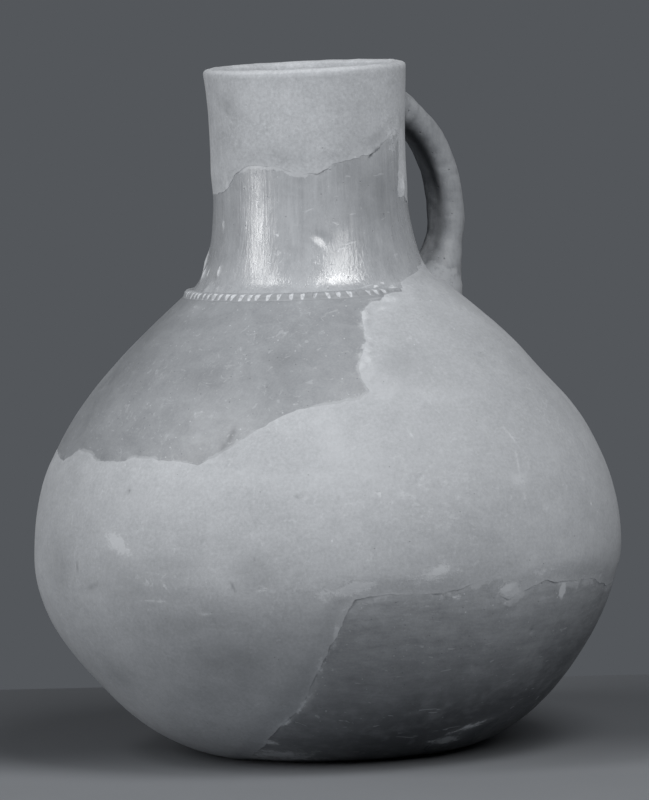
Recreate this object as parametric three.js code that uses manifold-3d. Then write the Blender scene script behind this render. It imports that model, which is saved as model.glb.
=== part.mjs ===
import * as THREE from "three";
import { mergeVertices } from "three/addons/utils/BufferGeometryUtils.js";
import Module from "manifold-3d";

// A one-handled burnished clay jug, put together again from its sherds with plaster where clay is lost.
// The vessel is first turned upright as one wall, then broken along its break lines, and last leant over.
// Millimetres, +Z up. The origin lies on the table under the belly's centre, and the handle is on +X.
// Azimuths are degrees from +X towards +Y.

// Form of the wall's outside, from the table up
const BASE_RADIUS = 45;
const BASE_SWEEP = 37.5;
const BELLY_RADIUS = 120.7;
const BELLY_HEIGHT = 84;
const BELLY_EASE_BELOW = 30;
const BELLY_EASE_ABOVE = 47;
const RING_RADIUS = 52.1;
const RING_HEIGHT = 190.5;
const SHOULDER_EASE = 37;
const SHOULDER_STEEPNESS = 50;
const NECK_FOOT_EASE = 8.4;
const NECK_FOOT_STEEPNESS = 66;
const WAIST_RADIUS = 39.2;
const WAIST_HEIGHT = 238.5;
const WAIST_EASE_BELOW = 29;
const WAIST_EASE_ABOVE = 11;
const RIM_RADIUS = 40.9;
const RIM_EASE = 15;
const RIM_FLARE = 5;
const TOTAL_HEIGHT = 281.5;
const LIP_ROUND = 1.8;

// Thickness of the wall
const BASE_WALL = 9;
const BODY_WALL = 6.5;
const NECK_WALL = 5.5;
const BASE_WALL_FADE = 30;

// How the soft pot settled before firing
const LEAN = 1;
const BASE_SHIFT = 3.2;
const LEVEL_FOOT = 30;

// Joints between the pieces, and how far plaster stands above the clay beside it
const JOINT = 0.3;
const PLASTER_RISE = 0.6;

// Notched cord laid over the joint of neck and body
const BAND_WIDTH = 5.2;
const BAND_RISE = 1.6;
const NOTCH_COUNT = 72;
const NOTCH_WIDTH = 2;
const NOTCH_LENGTH = 4.4;
const NOTCH_DEPTH = 1.2;
const BAND_START = 343;
const BAND_END = 278;

// Handle, measured out from the neck's axis and down from the rim
const HANDLE_WIDTH = 17;
const HANDLE_THICKNESS = 13.5;
const HANDLE_REACH = 68.2;
const HANDLE_ROOT_DROP = 19;
const HANDLE_SHOULDER_OUT = 17;
const HANDLE_SHOULDER_DROP = 23;
const HANDLE_TURN_DROP = 41;
const HANDLE_BEND_DROP = 66;
const HANDLE_FOOT_RADIUS = 58.8;
const HANDLE_FOOT_SINK = 6;
const HANDLE_LEG_EASES = [0.3, 0.65];
const HANDLE_ROOT_FLARE = 1.35;
const HANDLE_FOOT_FLARE = 1.5;
const HANDLE_FLARE_LENGTH = 0.2;

// Break lines. Each point is an azimuth and a height: on the body in percent of the ring's height,
// on the neck in percent of the neck's height above the ring, under the base in percent of its radius.
const RIM_FILL_EDGE = [
  [145.5, 44.2], [174, 46.7], [180, 50], [186, 55], [195.5, 58.5], [213, 58.5], [221, 56.6],
  [226, 54.8], [240, 54.1], [244.5, 55.8], [249.5, 58.3], [261, 59.7], [278, 62.7], [291.5, 68.8],
  [300, 71.6], [306.5, 69.4], [307.5, 59.3], [304.5, 52.8], [301.5, 45.8], [301, 40.6], [313, 39.7],
  [325, 35.4], [343, 39.9], [362, 45.4], [382, 39.9], [405, 47.7], [430, 43.3], [455, 51], [480, 45.4],
];
const FILL_TONGUE_OVER_RING = [
  [279.5, 0.5], [281, 2.7], [288, 4.6], [297, 5.8], [308, 7.4], [321, 9.1], [330, 8], [336.5, 3.3],
  [339.5, -0.1],
];
const SHOULDER_EDGE = [
  [268, 100], [263.5, 98.3], [259, 98.1], [256, 97.3], [252.5, 95.9], [251.5, 93.1], [250.5, 90.3],
  [247.5, 87.1], [246.5, 85.3], [247.5, 82.1], [248, 80.9], [245, 79.3], [235, 78.5], [229.5, 77.9],
  [225, 76.4], [219, 73.5], [214.5, 70.6], [208, 67.4], [203, 68.1], [190.5, 68.7], [187, 67.8], [178, 67.4],
  [174.5, 68.8], [168, 69.2], [161.5, 66.4], [148, 67.6], [136, 65.5], [124, 61.8], [113, 58.6], [104, 54.4],
];
const SHOULDER_SPLIT = [[118, 100], [112, 89], [117, 78.6], [108, 65.7], [104, 54.4]];
const RIGHT_FILL_END = [[342, 100], [343, 86.3], [339, 73.3], [346, 61.8], [350, 49.7]];
const BACK_BREAK = [[350, 49.7], [368, 46.1], [395, 50.7], [420, 47.2], [445, 51.8], [464, 54.4]];
const LOWER_EDGE = [
  [192.5, 0.7], [210.5, 5.3], [218, 10], [222, 12.6], [227, 16.1], [229, 19.7], [232.5, 25.4],
  [236, 31.7], [240, 39.1], [246.5, 39.9], [257.5, 39], [265.5, 41], [270, 41.6], [271, 39.4],
  [270, 37.3], [272.5, 36.2], [277.5, 38.1], [281, 39.1], [285.5, 38.3], [299, 37.3], [310, 34.2],
  [316.5, 34.8], [330, 36.6], [342, 44], [350, 49.7],
];
const LEFT_FILL_END = [[104, 54.4], [112, 41.8], [117, 26.9], [128, 12.9], [143, 4.2], [147, 1]];
const LOWER_SPLIT = [[35, 50.7], [38, 41.8], [29, 29.8], [36, 15.9], [30, 2]];
const UNDER_BASE = [[390, 85], [405, 80], [445, 72], [485, 62], [507, 64], [525, 66], [552.5, 85]];
const LEFT_END_UNDER_BASE = 4;
const FILL_SEAM = [
  [247.5, 82.1], [253, 83.2], [256.5, 81], [265, 79.8], [267, 78], [268.5, 75.2], [268, 69.6],
  [265.5, 61.8], [264, 53.6], [266, 47.2], [265.5, 41],
];
const WEDGE_OUTLINE = [
  [266.5, 5], [274, 7.1], [285.5, 7.6], [282.5, 5], [289, 2.2], [281, 1.2], [271, 1.2], [265.5, 2.7],
];

// Fineness of the meshes
const ROUND_STEPS = 60;
const OUTSIDE_STEPS = [8, 9, 5, 3];
const INSIDE_STEPS = [4, 5, 2, 1];
const LIP_STEPS = 4;
const FINE_STEPS = 40;
const BAND_STEPS = 3;
const JOINT_STEP = 6;
const HANDLE_SIDES = 14;
const HANDLE_STEPS = 21;
const MARKER_RADIUS = 1;
const SHEET_START = 0.75;
const SHEET_END = 1.15;

// Share of the neck over which its break faces turn level
const LEVEL_SHARE = 0.2;

// Share of the room under the cord that is left at its two edges
const EDGE_SHARE = 0.5;

const wasm = await Module();
wasm.setup();

const radians = THREE.MathUtils.degToRad;
const smooth = (x) => THREE.MathUtils.smoothstep(x, 0, 1);

// Solids and meshes

function solid(geometry) {
  const bare = new THREE.BufferGeometry();
  bare.setAttribute("position", geometry.getAttribute("position"));
  bare.setIndex(geometry.getIndex());
  const merged = mergeVertices(bare, 1e-4);
  return new wasm.Manifold(
    new wasm.Mesh({
      numProp: 3,
      vertProperties: new Float32Array(merged.getAttribute("position").array),
      triVerts: new Uint32Array(merged.getIndex().array),
    }),
  );
}

function meshed(geometry, points, faces) {
  geometry.setAttribute("position", new THREE.Float32BufferAttribute(points, 3));
  geometry.setIndex(faces);
  return geometry;
}

function lathe(profile, steps = ROUND_STEPS) {
  const points = profile.map(([r, z]) => new THREE.Vector2(r, z));
  return solid(new THREE.LatheGeometry(points, steps).rotateX(Math.PI / 2));
}

// Outline of the wall

const direction = (degrees) => [-Math.sin(radians(degrees)), Math.cos(radians(degrees))];

function bezier(a, b, c, d) {
  const [p, q, r, s] = [a, b, c, d].map(([x, y]) => new THREE.Vector2(x, y));
  return new THREE.CubicBezierCurve(p, q, r, s);
}

const [shoulderRun, shoulderClimb] = direction(SHOULDER_STEEPNESS);
const [neckRun, neckClimb] = direction(NECK_FOOT_STEEPNESS);
const [rimRun, rimClimb] = direction(-RIM_FLARE);
const LIP_HEIGHT = TOTAL_HEIGHT - LIP_ROUND;
const curves = [
  bezier(
    [BASE_RADIUS, 0],
    [BASE_RADIUS + BASE_SWEEP, 0],
    [BELLY_RADIUS, BELLY_HEIGHT - BELLY_EASE_BELOW],
    [BELLY_RADIUS, BELLY_HEIGHT],
  ),
  bezier(
    [BELLY_RADIUS, BELLY_HEIGHT],
    [BELLY_RADIUS, BELLY_HEIGHT + BELLY_EASE_ABOVE],
    [RING_RADIUS - shoulderRun * SHOULDER_EASE, RING_HEIGHT - shoulderClimb * SHOULDER_EASE],
    [RING_RADIUS, RING_HEIGHT],
  ),
  bezier(
    [RING_RADIUS, RING_HEIGHT],
    [RING_RADIUS + neckRun * NECK_FOOT_EASE, RING_HEIGHT + neckClimb * NECK_FOOT_EASE],
    [WAIST_RADIUS, WAIST_HEIGHT - WAIST_EASE_BELOW],
    [WAIST_RADIUS, WAIST_HEIGHT],
  ),
  bezier(
    [WAIST_RADIUS, WAIST_HEIGHT],
    [WAIST_RADIUS, WAIST_HEIGHT + WAIST_EASE_ABOVE],
    [RIM_RADIUS - rimRun * RIM_EASE, LIP_HEIGHT - rimClimb * RIM_EASE],
    [RIM_RADIUS, LIP_HEIGHT],
  ),
];

// The outline moved outwards by rise(height), and kept above the table
function outline(steps, rise) {
  const places = [];
  curves.forEach((curve, i) => {
    for (let k = i ? 1 : 0; k <= steps[i]; k++) {
      const t = k / steps[i];
      places.push([curve.getPoint(t), curve.getTangent(t)]);
    }
  });
  return places.map(([p, way]) => {
    const out = rise(p.y);
    return [p.x + way.y * out, Math.max(p.y - way.x * out, 0)];
  });
}

function wallThickness(height) {
  const low = THREE.MathUtils.lerp(BASE_WALL, BODY_WALL, smooth(height / BASE_WALL_FADE));
  const climbed = (height - BELLY_HEIGHT) / (WAIST_HEIGHT - BELLY_HEIGHT);
  return THREE.MathUtils.lerp(low, NECK_WALL, smooth(climbed));
}

function lip(rise) {
  const half = (NECK_WALL + rise) / 2;
  const points = [];
  for (let k = 1; k < LIP_STEPS; k++) {
    const angle = (Math.PI * k) / LIP_STEPS;
    const radius = RIM_RADIUS + rise - half + half * Math.cos(angle);
    points.push([radius, LIP_HEIGHT + LIP_ROUND * Math.sin(angle)]);
  }
  return points;
}

function wall(rise) {
  const outside = outline(OUTSIDE_STEPS, () => rise);
  const inside = outline(INSIDE_STEPS, (height) => -wallThickness(height));
  return lathe([[0, 0], ...outside, ...lip(rise), ...inside.reverse(), [0, BASE_WALL]]);
}

// The full vessel without its hollow, grown by the room that a handle laid on it needs
function roomForVessel() {
  const grown = outline(OUTSIDE_STEPS, (height) => JOINT + (height > RING_HEIGHT ? PLASTER_RISE : 0));
  return lathe([[0, 0], ...grown, [0, LIP_HEIGHT]]);
}

// Places on the wall

const fineOutline = outline([FINE_STEPS, FINE_STEPS, FINE_STEPS, FINE_STEPS], () => 0);

function radiusAt(height) {
  const i = Math.max(1, fineOutline.findIndex(([, z]) => z >= height));
  const [r0, z0] = fineOutline[i - 1];
  const [r1, z1] = fineOutline[i];
  return THREE.MathUtils.lerp(r0, r1, (height - z0) / (z1 - z0));
}

function at(azimuth, radius, height) {
  const angle = radians(azimuth);
  return new THREE.Vector3(radius * Math.cos(angle), radius * Math.sin(angle), height);
}

const bellyCentre = new THREE.Vector3(0, 0, BELLY_HEIGHT);

// A place is a point on the wall's outside with the point on the axis that its break faces run from
function onBody([azimuth, percent]) {
  const height = (RING_HEIGHT * percent) / 100;
  return { point: at(azimuth, radiusAt(height), height), from: bellyCentre };
}

function onNeck([azimuth, percent]) {
  const share = percent / 100;
  const height = THREE.MathUtils.lerp(RING_HEIGHT, LIP_HEIGHT, share);
  const level = Math.min(1, share / LEVEL_SHARE);
  const from = new THREE.Vector3(0, 0, THREE.MathUtils.lerp(BELLY_HEIGHT, height, level));
  return { point: at(azimuth, radiusAt(height), height), from };
}

const underBase = ([azimuth, percent]) => ({
  point: at(azimuth, (BASE_RADIUS * percent) / 100, 0),
  from: bellyCentre,
});

// A break as a thin sheet through the wall: the gap that is left between two joined pieces
function breakSheet(places, closed) {
  const count = places.length;
  const spot = (i) => places[closed ? (i + count) % count : THREE.MathUtils.clamp(i, 0, count - 1)].point;
  const points = [];
  places.forEach(({ point, from }, i) => {
    const out = point.clone().sub(from);
    const outward = out.clone().normalize();
    const before = point.clone().sub(spot(i - 1)).cross(outward).normalize();
    const after = spot(i + 1).clone().sub(point).cross(outward).normalize();
    const side = before.clone().add(after).normalize();
    const half = JOINT / 2 / Math.max(0.5, side.dot(before.lengthSq() ? before : after));
    for (const [reach, way] of [[SHEET_START, -1], [SHEET_END, -1], [SHEET_END, 1], [SHEET_START, 1]]) {
      const corner = from.clone().addScaledVector(out, reach).addScaledVector(side, way * half);
      points.push(...corner.toArray());
    }
  });
  const faces = [];
  for (let i = 0; i < (closed ? count : count - 1); i++) {
    const here = 4 * i;
    const next = 4 * ((i + 1) % count);
    // Opposite sides are split along like diagonals, and so stay a joint's width apart where they twist
    for (let k = 0; k < 4; k++) {
      const l = (k + 1) % 4;
      if (k < 2) faces.push(here + k, here + l, next + l, here + k, next + l, next + k);
      else faces.push(here + k, here + l, next + k, here + l, next + l, next + k);
    }
  }
  if (!closed) {
    const last = 4 * (count - 1);
    faces.push(0, 2, 1, 0, 3, 2, last, last + 1, last + 2, last, last + 2, last + 3);
  }
  return solid(meshed(new THREE.BufferGeometry(), points, faces));
}

// The lower edge of the neck: level along the ring, and over the tongue of plaster on the right
function neckFootEdge() {
  const level = [];
  const end = FILL_TONGUE_OVER_RING[0][0];
  for (let azimuth = RIGHT_FILL_END[0][0] - 360; azimuth < end; azimuth += JOINT_STEP) {
    level.push([azimuth, 0]);
  }
  return [...level, ...FILL_TONGUE_OVER_RING].map(onNeck);
}

const breaks = [
  breakSheet(RIM_FILL_EDGE.map(onNeck), true),
  breakSheet(neckFootEdge(), true),
  breakSheet(SHOULDER_EDGE.map(onBody), false),
  breakSheet(SHOULDER_SPLIT.map(onBody), false),
  breakSheet(RIGHT_FILL_END.map(onBody), false),
  breakSheet(BACK_BREAK.map(onBody), false),
  breakSheet([underBase(UNDER_BASE.at(-1)), ...LOWER_EDGE.map(onBody)], false),
  breakSheet([...LEFT_FILL_END.map(onBody), underBase(UNDER_BASE[LEFT_END_UNDER_BASE])], false),
  breakSheet([...LOWER_SPLIT.map(onBody), ...UNDER_BASE.map(underBase)], false),
  breakSheet(FILL_SEAM.map(onBody), false),
  breakSheet(WEDGE_OUTLINE.map(onBody), true),
];

function broken(whole) {
  const { vertProperties, triVerts } = breaks.reduce((rest, sheet) => rest.subtract(sheet), whole).getMesh();
  return solid(meshed(new THREE.BufferGeometry(), [...vertProperties], [...triVerts])).decompose();
}

// The piece of a broken wall that holds the place, half way through the wall
function pieceAt(pieces, place) {
  const inward = place.from.clone().sub(place.point).normalize();
  const middle = place.point.clone().addScaledVector(inward, wallThickness(place.point.z) / 2);
  const ball = new THREE.OctahedronGeometry(MARKER_RADIUS).translate(...middle.toArray());
  const marker = solid(ball);
  return pieces.find((piece) => piece.intersect(marker).volume() > 0);
}

// Notched cord

// The cord is seated on the faces just below and above the ring
const ringIndex = OUTSIDE_STEPS[0] + OUTSIDE_STEPS[1];
const seats = outline(OUTSIDE_STEPS, () => 0).slice(ringIndex - 1, ringIndex + 2);
const [belowRing, onRing, aboveRing] = seats.map(([r, z]) => new THREE.Vector2(r, z));
const shoulderWay = onRing.clone().sub(belowRing).normalize();
const neckWay = aboveRing.clone().sub(onRing).normalize();
const cordUp = shoulderWay.clone().add(neckWay).normalize();
const cordOut = new THREE.Vector2(cordUp.y, -cordUp.x);

function cordSection(margin) {
  const half = BAND_WIDTH / 2 + margin;
  const under = [
    [neckWay, half, EDGE_SHARE],
    [neckWay, 0, 1],
    [shoulderWay, -half, EDGE_SHARE],
  ].map(([way, along, share]) => [
    RING_RADIUS + way.x * along + cordOut.x * (JOINT - margin * share),
    RING_HEIGHT + way.y * along + cordOut.y * (JOINT - margin * share),
  ]);
  const over = [];
  for (let k = 1; k < BAND_STEPS; k++) {
    const along = half * (2 * (k / BAND_STEPS) - 1);
    const rise = JOINT + (BAND_RISE + margin) * Math.sin((Math.PI * k) / BAND_STEPS);
    over.push([
      RING_RADIUS + cordUp.x * along + cordOut.x * rise,
      RING_HEIGHT + cordUp.y * along + cordOut.y * rise,
    ]);
  }
  const section = [...under, ...over];
  return [...section, section[0]];
}

// A wedge of space between two azimuths, from the axis out past the belly
function sector(start, end) {
  const reach = 2 * BELLY_RADIUS;
  const shape = new THREE.Shape();
  shape.moveTo(0, 0);
  for (const azimuth of [start, (start + end) / 2, end]) {
    shape.lineTo(reach * Math.cos(radians(azimuth)), reach * Math.sin(radians(azimuth)));
  }
  return solid(new THREE.ExtrudeGeometry(shape, { depth: TOTAL_HEIGHT, bevelEnabled: false }));
}

function notch(azimuth) {
  const across = at(azimuth + 90, 1, 0);
  const along = at(azimuth, cordUp.x, cordUp.y);
  const out = at(azimuth, cordOut.x, cordOut.y);
  const crown = JOINT + BAND_RISE;
  const place = at(azimuth, RING_RADIUS + cordOut.x * crown, RING_HEIGHT + cordOut.y * crown);
  const cut = new THREE.BoxGeometry(NOTCH_WIDTH, NOTCH_LENGTH, 2 * NOTCH_DEPTH);
  cut.applyMatrix4(new THREE.Matrix4().makeBasis(across, along, out).setPosition(place));
  return solid(cut);
}

function notchedBand() {
  let band = lathe(cordSection(0), NOTCH_COUNT).subtract(sector(BAND_END, BAND_START));
  const pitch = 360 / NOTCH_COUNT;
  for (let azimuth = BAND_START - 360 + pitch; azimuth < BAND_END - pitch / 2; azimuth += pitch) {
    band = band.subtract(notch(azimuth));
  }
  return band;
}

const roomForBand = () => lathe(cordSection(JOINT)).subtract(sector(BAND_END + 1, BAND_START - 1));

// Handle: an oval strap that is thicker where it is luted on

function handle() {
  const bend = TOTAL_HEIGHT - HANDLE_BEND_DROP;
  const footHeight = heightOnShoulder(HANDLE_FOOT_RADIUS) - HANDLE_FOOT_SINK;
  const [legStart, legEnd] = HANDLE_LEG_EASES;
  const upper = bezier(
    [WAIST_RADIUS - 1, TOTAL_HEIGHT - HANDLE_ROOT_DROP],
    [WAIST_RADIUS - 1 + HANDLE_SHOULDER_OUT, TOTAL_HEIGHT - HANDLE_SHOULDER_DROP],
    [HANDLE_REACH, TOTAL_HEIGHT - HANDLE_TURN_DROP],
    [HANDLE_REACH, bend],
  );
  const lower = bezier(
    [HANDLE_REACH, bend],
    [HANDLE_REACH, THREE.MathUtils.lerp(bend, footHeight, legStart)],
    [(HANDLE_REACH + HANDLE_FOOT_RADIUS) / 2, THREE.MathUtils.lerp(bend, footHeight, legEnd)],
    [HANDLE_FOOT_RADIUS, footHeight],
  );
  const path = new THREE.CurvePath();
  path.add(upper);
  path.add(lower);
  const points = [];
  for (let i = 0; i <= HANDLE_STEPS; i++) {
    const along = i / HANDLE_STEPS;
    const middle = path.getPointAt(along);
    const way = path.getTangentAt(along);
    const end = Math.min(along, 1 - along) / HANDLE_FLARE_LENGTH;
    const widest = along < 0.5 ? HANDLE_ROOT_FLARE : HANDLE_FOOT_FLARE;
    const flare = THREE.MathUtils.lerp(widest, 1, smooth(end));
    for (let k = 0; k < HANDLE_SIDES; k++) {
      const angle = (2 * Math.PI * k) / HANDLE_SIDES;
      const out = (HANDLE_THICKNESS / 2) * flare * Math.cos(angle);
      const side = (HANDLE_WIDTH / 2) * flare * Math.sin(angle);
      points.push(middle.x - way.y * out, side, middle.y + way.x * out);
    }
  }
  const faces = [];
  for (let i = 0; i < HANDLE_STEPS; i++) {
    for (let k = 0; k < HANDLE_SIDES; k++) {
      const [a, b] = [i * HANDLE_SIDES + k, i * HANDLE_SIDES + ((k + 1) % HANDLE_SIDES)];
      faces.push(a, b + HANDLE_SIDES, b, a, a + HANDLE_SIDES, b + HANDLE_SIDES);
    }
  }
  const last = HANDLE_STEPS * HANDLE_SIDES;
  for (let k = 1; k < HANDLE_SIDES - 1; k++) {
    faces.push(0, k, k + 1, last, last + k + 1, last + k);
  }
  const strap = solid(meshed(new THREE.BufferGeometry(), points, faces));
  return strap.subtract(roomForVessel()).subtract(roomForBand());
}

function heightOnShoulder(radius) {
  const above = fineOutline.filter(([, z]) => z > BELLY_HEIGHT && z <= RING_HEIGHT);
  return above.find(([r]) => r <= radius)[1];
}

// The soft pot's lean: the base slips across and stays level, and all above it tips towards -X
function settle(geometry) {
  const position = geometry.getAttribute("position");
  const tip = Math.sin(radians(LEAN));
  for (let i = 0; i < position.count; i++) {
    const [x, z] = [position.getX(i), position.getZ(i)];
    const slip = BASE_SHIFT * smooth(1 - z / BELLY_HEIGHT);
    position.setX(i, x + slip - (z - BELLY_HEIGHT) * tip);
    position.setZ(i, z + x * tip * smooth(z / LEVEL_FOOT));
  }
  return geometry;
}

// Assembly

const group = new THREE.Group();

function place(name, body, colour, roughness) {
  const { vertProperties, triVerts } = body.getMesh();
  const geometry = new THREE.BufferGeometry();
  geometry.setAttribute("position", new THREE.BufferAttribute(new Float32Array(vertProperties), 3));
  geometry.setIndex(new THREE.BufferAttribute(new Uint32Array(triVerts), 1));
  settle(geometry).computeVertexNormals();
  const material = new THREE.MeshStandardMaterial({ color: colour, roughness, metalness: 0 });
  const mesh = new THREE.Mesh(geometry, material);
  mesh.name = name;
  group.add(mesh);
}

const clay = broken(wall(0));
const plaster = broken(wall(PLASTER_RISE));
const fill = (spot) => pieceAt(plaster, spot).subtract(roomForBand());

place("neck_rim_fill", pieceAt(plaster, onNeck([235, 80])), 0xa9acb0, 0.75);
place("neck_sherd", pieceAt(clay, onNeck([235, 25])), 0xa6a9ad, 0.4);
place("notched_band", notchedBand(), 0x8a8d91, 0.5);
place("handle", handle(), 0x85888b, 0.55);
place("shoulder_sherd_front", pieceAt(clay, onBody([200, 85])), 0x9b9ea2, 0.42);
place("shoulder_sherd_back", pieceAt(clay, onBody([45, 80])), 0x96999d, 0.45);
place("body_fill_front", fill(onBody([200, 45])), 0xaeb1b5, 0.7);
place("body_fill_right", fill(onBody([300, 60])), 0xa1a2a6, 0.72);
place("lower_sherd_front", pieceAt(clay, onBody([270, 22])), 0x52575a, 0.38);
place("lower_sherd_back", pieceAt(clay, onBody([80, 25])), 0x5c6063, 0.4);
place("base_wedge_fill", pieceAt(plaster, onBody([278, 3.5])), 0x9a9da0, 0.75);

export default group;
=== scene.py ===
# %% [markdown]
# A burnished clay jug that has been put together again: dark and light sherds, and smooth plaster where
# clay is lost. The measured solids are loaded first. Every surface made below is laid over them and never
# moves them.

# %% Load the measured model
import math

import bpy
import numpy as np
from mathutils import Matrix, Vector, noise
from mathutils.geometry import delaunay_2d_cdt
from mathutils.kdtree import KDTree


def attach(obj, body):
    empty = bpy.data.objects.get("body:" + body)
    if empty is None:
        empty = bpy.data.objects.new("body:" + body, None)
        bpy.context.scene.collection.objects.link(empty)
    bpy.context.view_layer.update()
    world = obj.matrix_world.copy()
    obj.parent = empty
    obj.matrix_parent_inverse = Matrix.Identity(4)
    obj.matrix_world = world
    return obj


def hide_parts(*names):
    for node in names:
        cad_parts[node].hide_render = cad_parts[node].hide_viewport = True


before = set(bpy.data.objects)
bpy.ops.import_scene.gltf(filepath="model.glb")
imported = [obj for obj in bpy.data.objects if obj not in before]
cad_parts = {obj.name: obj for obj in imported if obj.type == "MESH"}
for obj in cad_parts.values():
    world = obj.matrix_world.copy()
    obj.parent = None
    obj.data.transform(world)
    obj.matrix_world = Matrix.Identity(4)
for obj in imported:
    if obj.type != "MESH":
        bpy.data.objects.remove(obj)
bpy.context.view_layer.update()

MM = 0.001

# %% [markdown]
# The jug was turned, so its wall is one outline swung round an axis. Four cubic curves draw that outline:
# under the belly, over the shoulder, up the foot of the neck and up to the rim. The numbers are those of
# the solids, in mm. An ease is how far a curve keeps its direction at one end, and a steepness is an angle
# off the upright.

# %% Outline of the wall
BASE_RADIUS, BASE_SWEEP = 45, 37.5
BELLY_RADIUS, BELLY_HEIGHT = 120.7, 84
BELLY_EASE_BELOW, BELLY_EASE_ABOVE = 30, 47
RING_RADIUS, RING_HEIGHT = 52.1, 190.5
SHOULDER_STEEPNESS, SHOULDER_EASE = 50, 37
NECK_FOOT_STEEPNESS, NECK_FOOT_EASE = 66, 8.4
WAIST_RADIUS, WAIST_HEIGHT = 39.2, 238.5
WAIST_EASE_BELOW, WAIST_EASE_ABOVE = 29, 11
RIM_RADIUS, TOTAL_HEIGHT, LIP_ROUND = 40.9, 281.5, 1.8
RIM_FLARE, RIM_EASE = 5, 15
LIP_HEIGHT = TOTAL_HEIGHT - LIP_ROUND


def slope(degrees, length):
    angle = math.radians(degrees)
    return np.array((-math.sin(angle) * length, math.cos(angle) * length))


base_edge = np.array((BASE_RADIUS, 0))
belly = np.array((BELLY_RADIUS, BELLY_HEIGHT))
ring = np.array((RING_RADIUS, RING_HEIGHT))
waist = np.array((WAIST_RADIUS, WAIST_HEIGHT))
rim = np.array((RIM_RADIUS, LIP_HEIGHT))
CURVES = (
    (base_edge, base_edge + (BASE_SWEEP, 0), belly - (0, BELLY_EASE_BELOW), belly),
    (belly, belly + (0, BELLY_EASE_ABOVE), ring - slope(SHOULDER_STEEPNESS, SHOULDER_EASE), ring),
    (ring, ring + slope(NECK_FOOT_STEEPNESS, NECK_FOOT_EASE), waist - (0, WAIST_EASE_BELOW), waist),
    (waist, waist + (0, WAIST_EASE_ABOVE), rim - slope(-RIM_FLARE, RIM_EASE), rim),
)


def bezier(corners, t):
    a, b, c, d = (np.array(p, float) for p in corners)
    t = t[:, None]
    return (1 - t) ** 3 * a + 3 * t * (1 - t) ** 2 * b + 3 * t**2 * (1 - t) * c + t**3 * d


CURVE_POINTS, BASE_POINTS = 400, 200
steps = np.linspace(0, 1, CURVE_POINTS)
under = np.stack([np.linspace(0, BASE_RADIUS, BASE_POINTS), np.zeros(BASE_POINTS)], 1)
outline = np.concatenate([under] + [bezier(c, steps)[1:] for c in CURVES])
run = np.concatenate([[0], np.cumsum(np.linalg.norm(np.diff(outline, axis=0), axis=1))])
WALL_START = BASE_POINTS - 1
RUN_AT_BASE = BASE_RADIUS
RUN_AT_RING = float(run[WALL_START + 2 * (CURVE_POINTS - 1)])
RUN_AT_RIM = float(run[-1])
way = np.gradient(outline, run, axis=0)
way /= np.linalg.norm(way, axis=1)[:, None]
print(f"outline {RUN_AT_RIM:.0f} mm long from the base's centre to the rim, ring at {RUN_AT_RING:.0f} mm")

# %% [markdown]
# To cut that round wall into sherds, it helps to have it flat, as a map has the globe. The map below keeps
# angles: a place's distance from the map's centre grows as the exponential of run over radius. Triangles
# that are well shaped on it are well shaped on the jug too, and the base's centre is just one more point.

# %% A flat map of the wall
CENTRE_DEPTH = 8
middle_radius = (outline[2:, 0] + outline[1:-1, 0]) / 2
stretch = np.concatenate([[-CENTRE_DEPTH, 0], np.cumsum(np.diff(run[1:]) / middle_radius)])


def on_map(azimuth, s):
    distance = np.exp(np.interp(s, run, stretch))
    angle = np.radians(azimuth)
    return np.stack([distance * np.cos(angle), distance * np.sin(angle)], -1)


def run_of_height(height):
    return np.interp(height, outline[WALL_START:, 1], run[WALL_START:])


print("on the map the rim is", round(math.exp(stretch[-1])), "times as far out as the first ring")

# %% [markdown]
# Three more helpers turn a place on the wall into a point in space. The wall is thickest at the base. The
# soft pot leant a little before it was fired, and its base slipped across: points are made round first and
# settle last.

# %% From the map to the jug
BASE_WALL, BODY_WALL, NECK_WALL, BASE_WALL_FADE = 9, 6.5, 5.5, 30
LEAN_ANGLE, BASE_SHIFT, LEVEL_FOOT = 1, 3.2, 30
LEAN = math.sin(math.radians(LEAN_ANGLE))


def smooth(x):
    x = np.clip(x, 0, 1)
    return x * x * (3 - 2 * x)


def wall_thickness(s):
    height = np.interp(s, run, outline[:, 1])
    low = BASE_WALL - (BASE_WALL - BODY_WALL) * smooth(height / BASE_WALL_FADE)
    return low + (NECK_WALL - low) * smooth((height - BELLY_HEIGHT) / (WAIST_HEIGHT - BELLY_HEIGHT))


def settle(p):
    x, y, z = p[..., 0], p[..., 1], p[..., 2]
    moved = x + BASE_SHIFT * smooth(1 - z / BELLY_HEIGHT) - (z - BELLY_HEIGHT) * LEAN
    return np.stack([moved, y, z + x * LEAN * smooth(z / LEVEL_FOOT)], -1)


def on_wall(azimuth, s, rise):
    """Points on the wall's outside, moved out by rise, before the pot settles. All in mm."""
    r, z = np.interp(s, run, outline[:, 0]), np.interp(s, run, outline[:, 1])
    wr, wz = np.interp(s, run, way[:, 0]), np.interp(s, run, way[:, 1])
    r, z = r + wz * rise, z - wr * rise
    angle = np.radians(azimuth)
    return np.stack([r * np.cos(angle), r * np.sin(angle), z], -1)


print("wall in mm at the base, belly and rim:", wall_thickness(np.array((0, 200, RUN_AT_RIM))).round(1))

# %% [markdown]
# The break lines are the jug's own: each point is an azimuth in degrees and a height. Heights on the body
# are in percent of the ring's height, on the neck in percent of the neck's, and under the base in percent
# of its radius.

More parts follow.
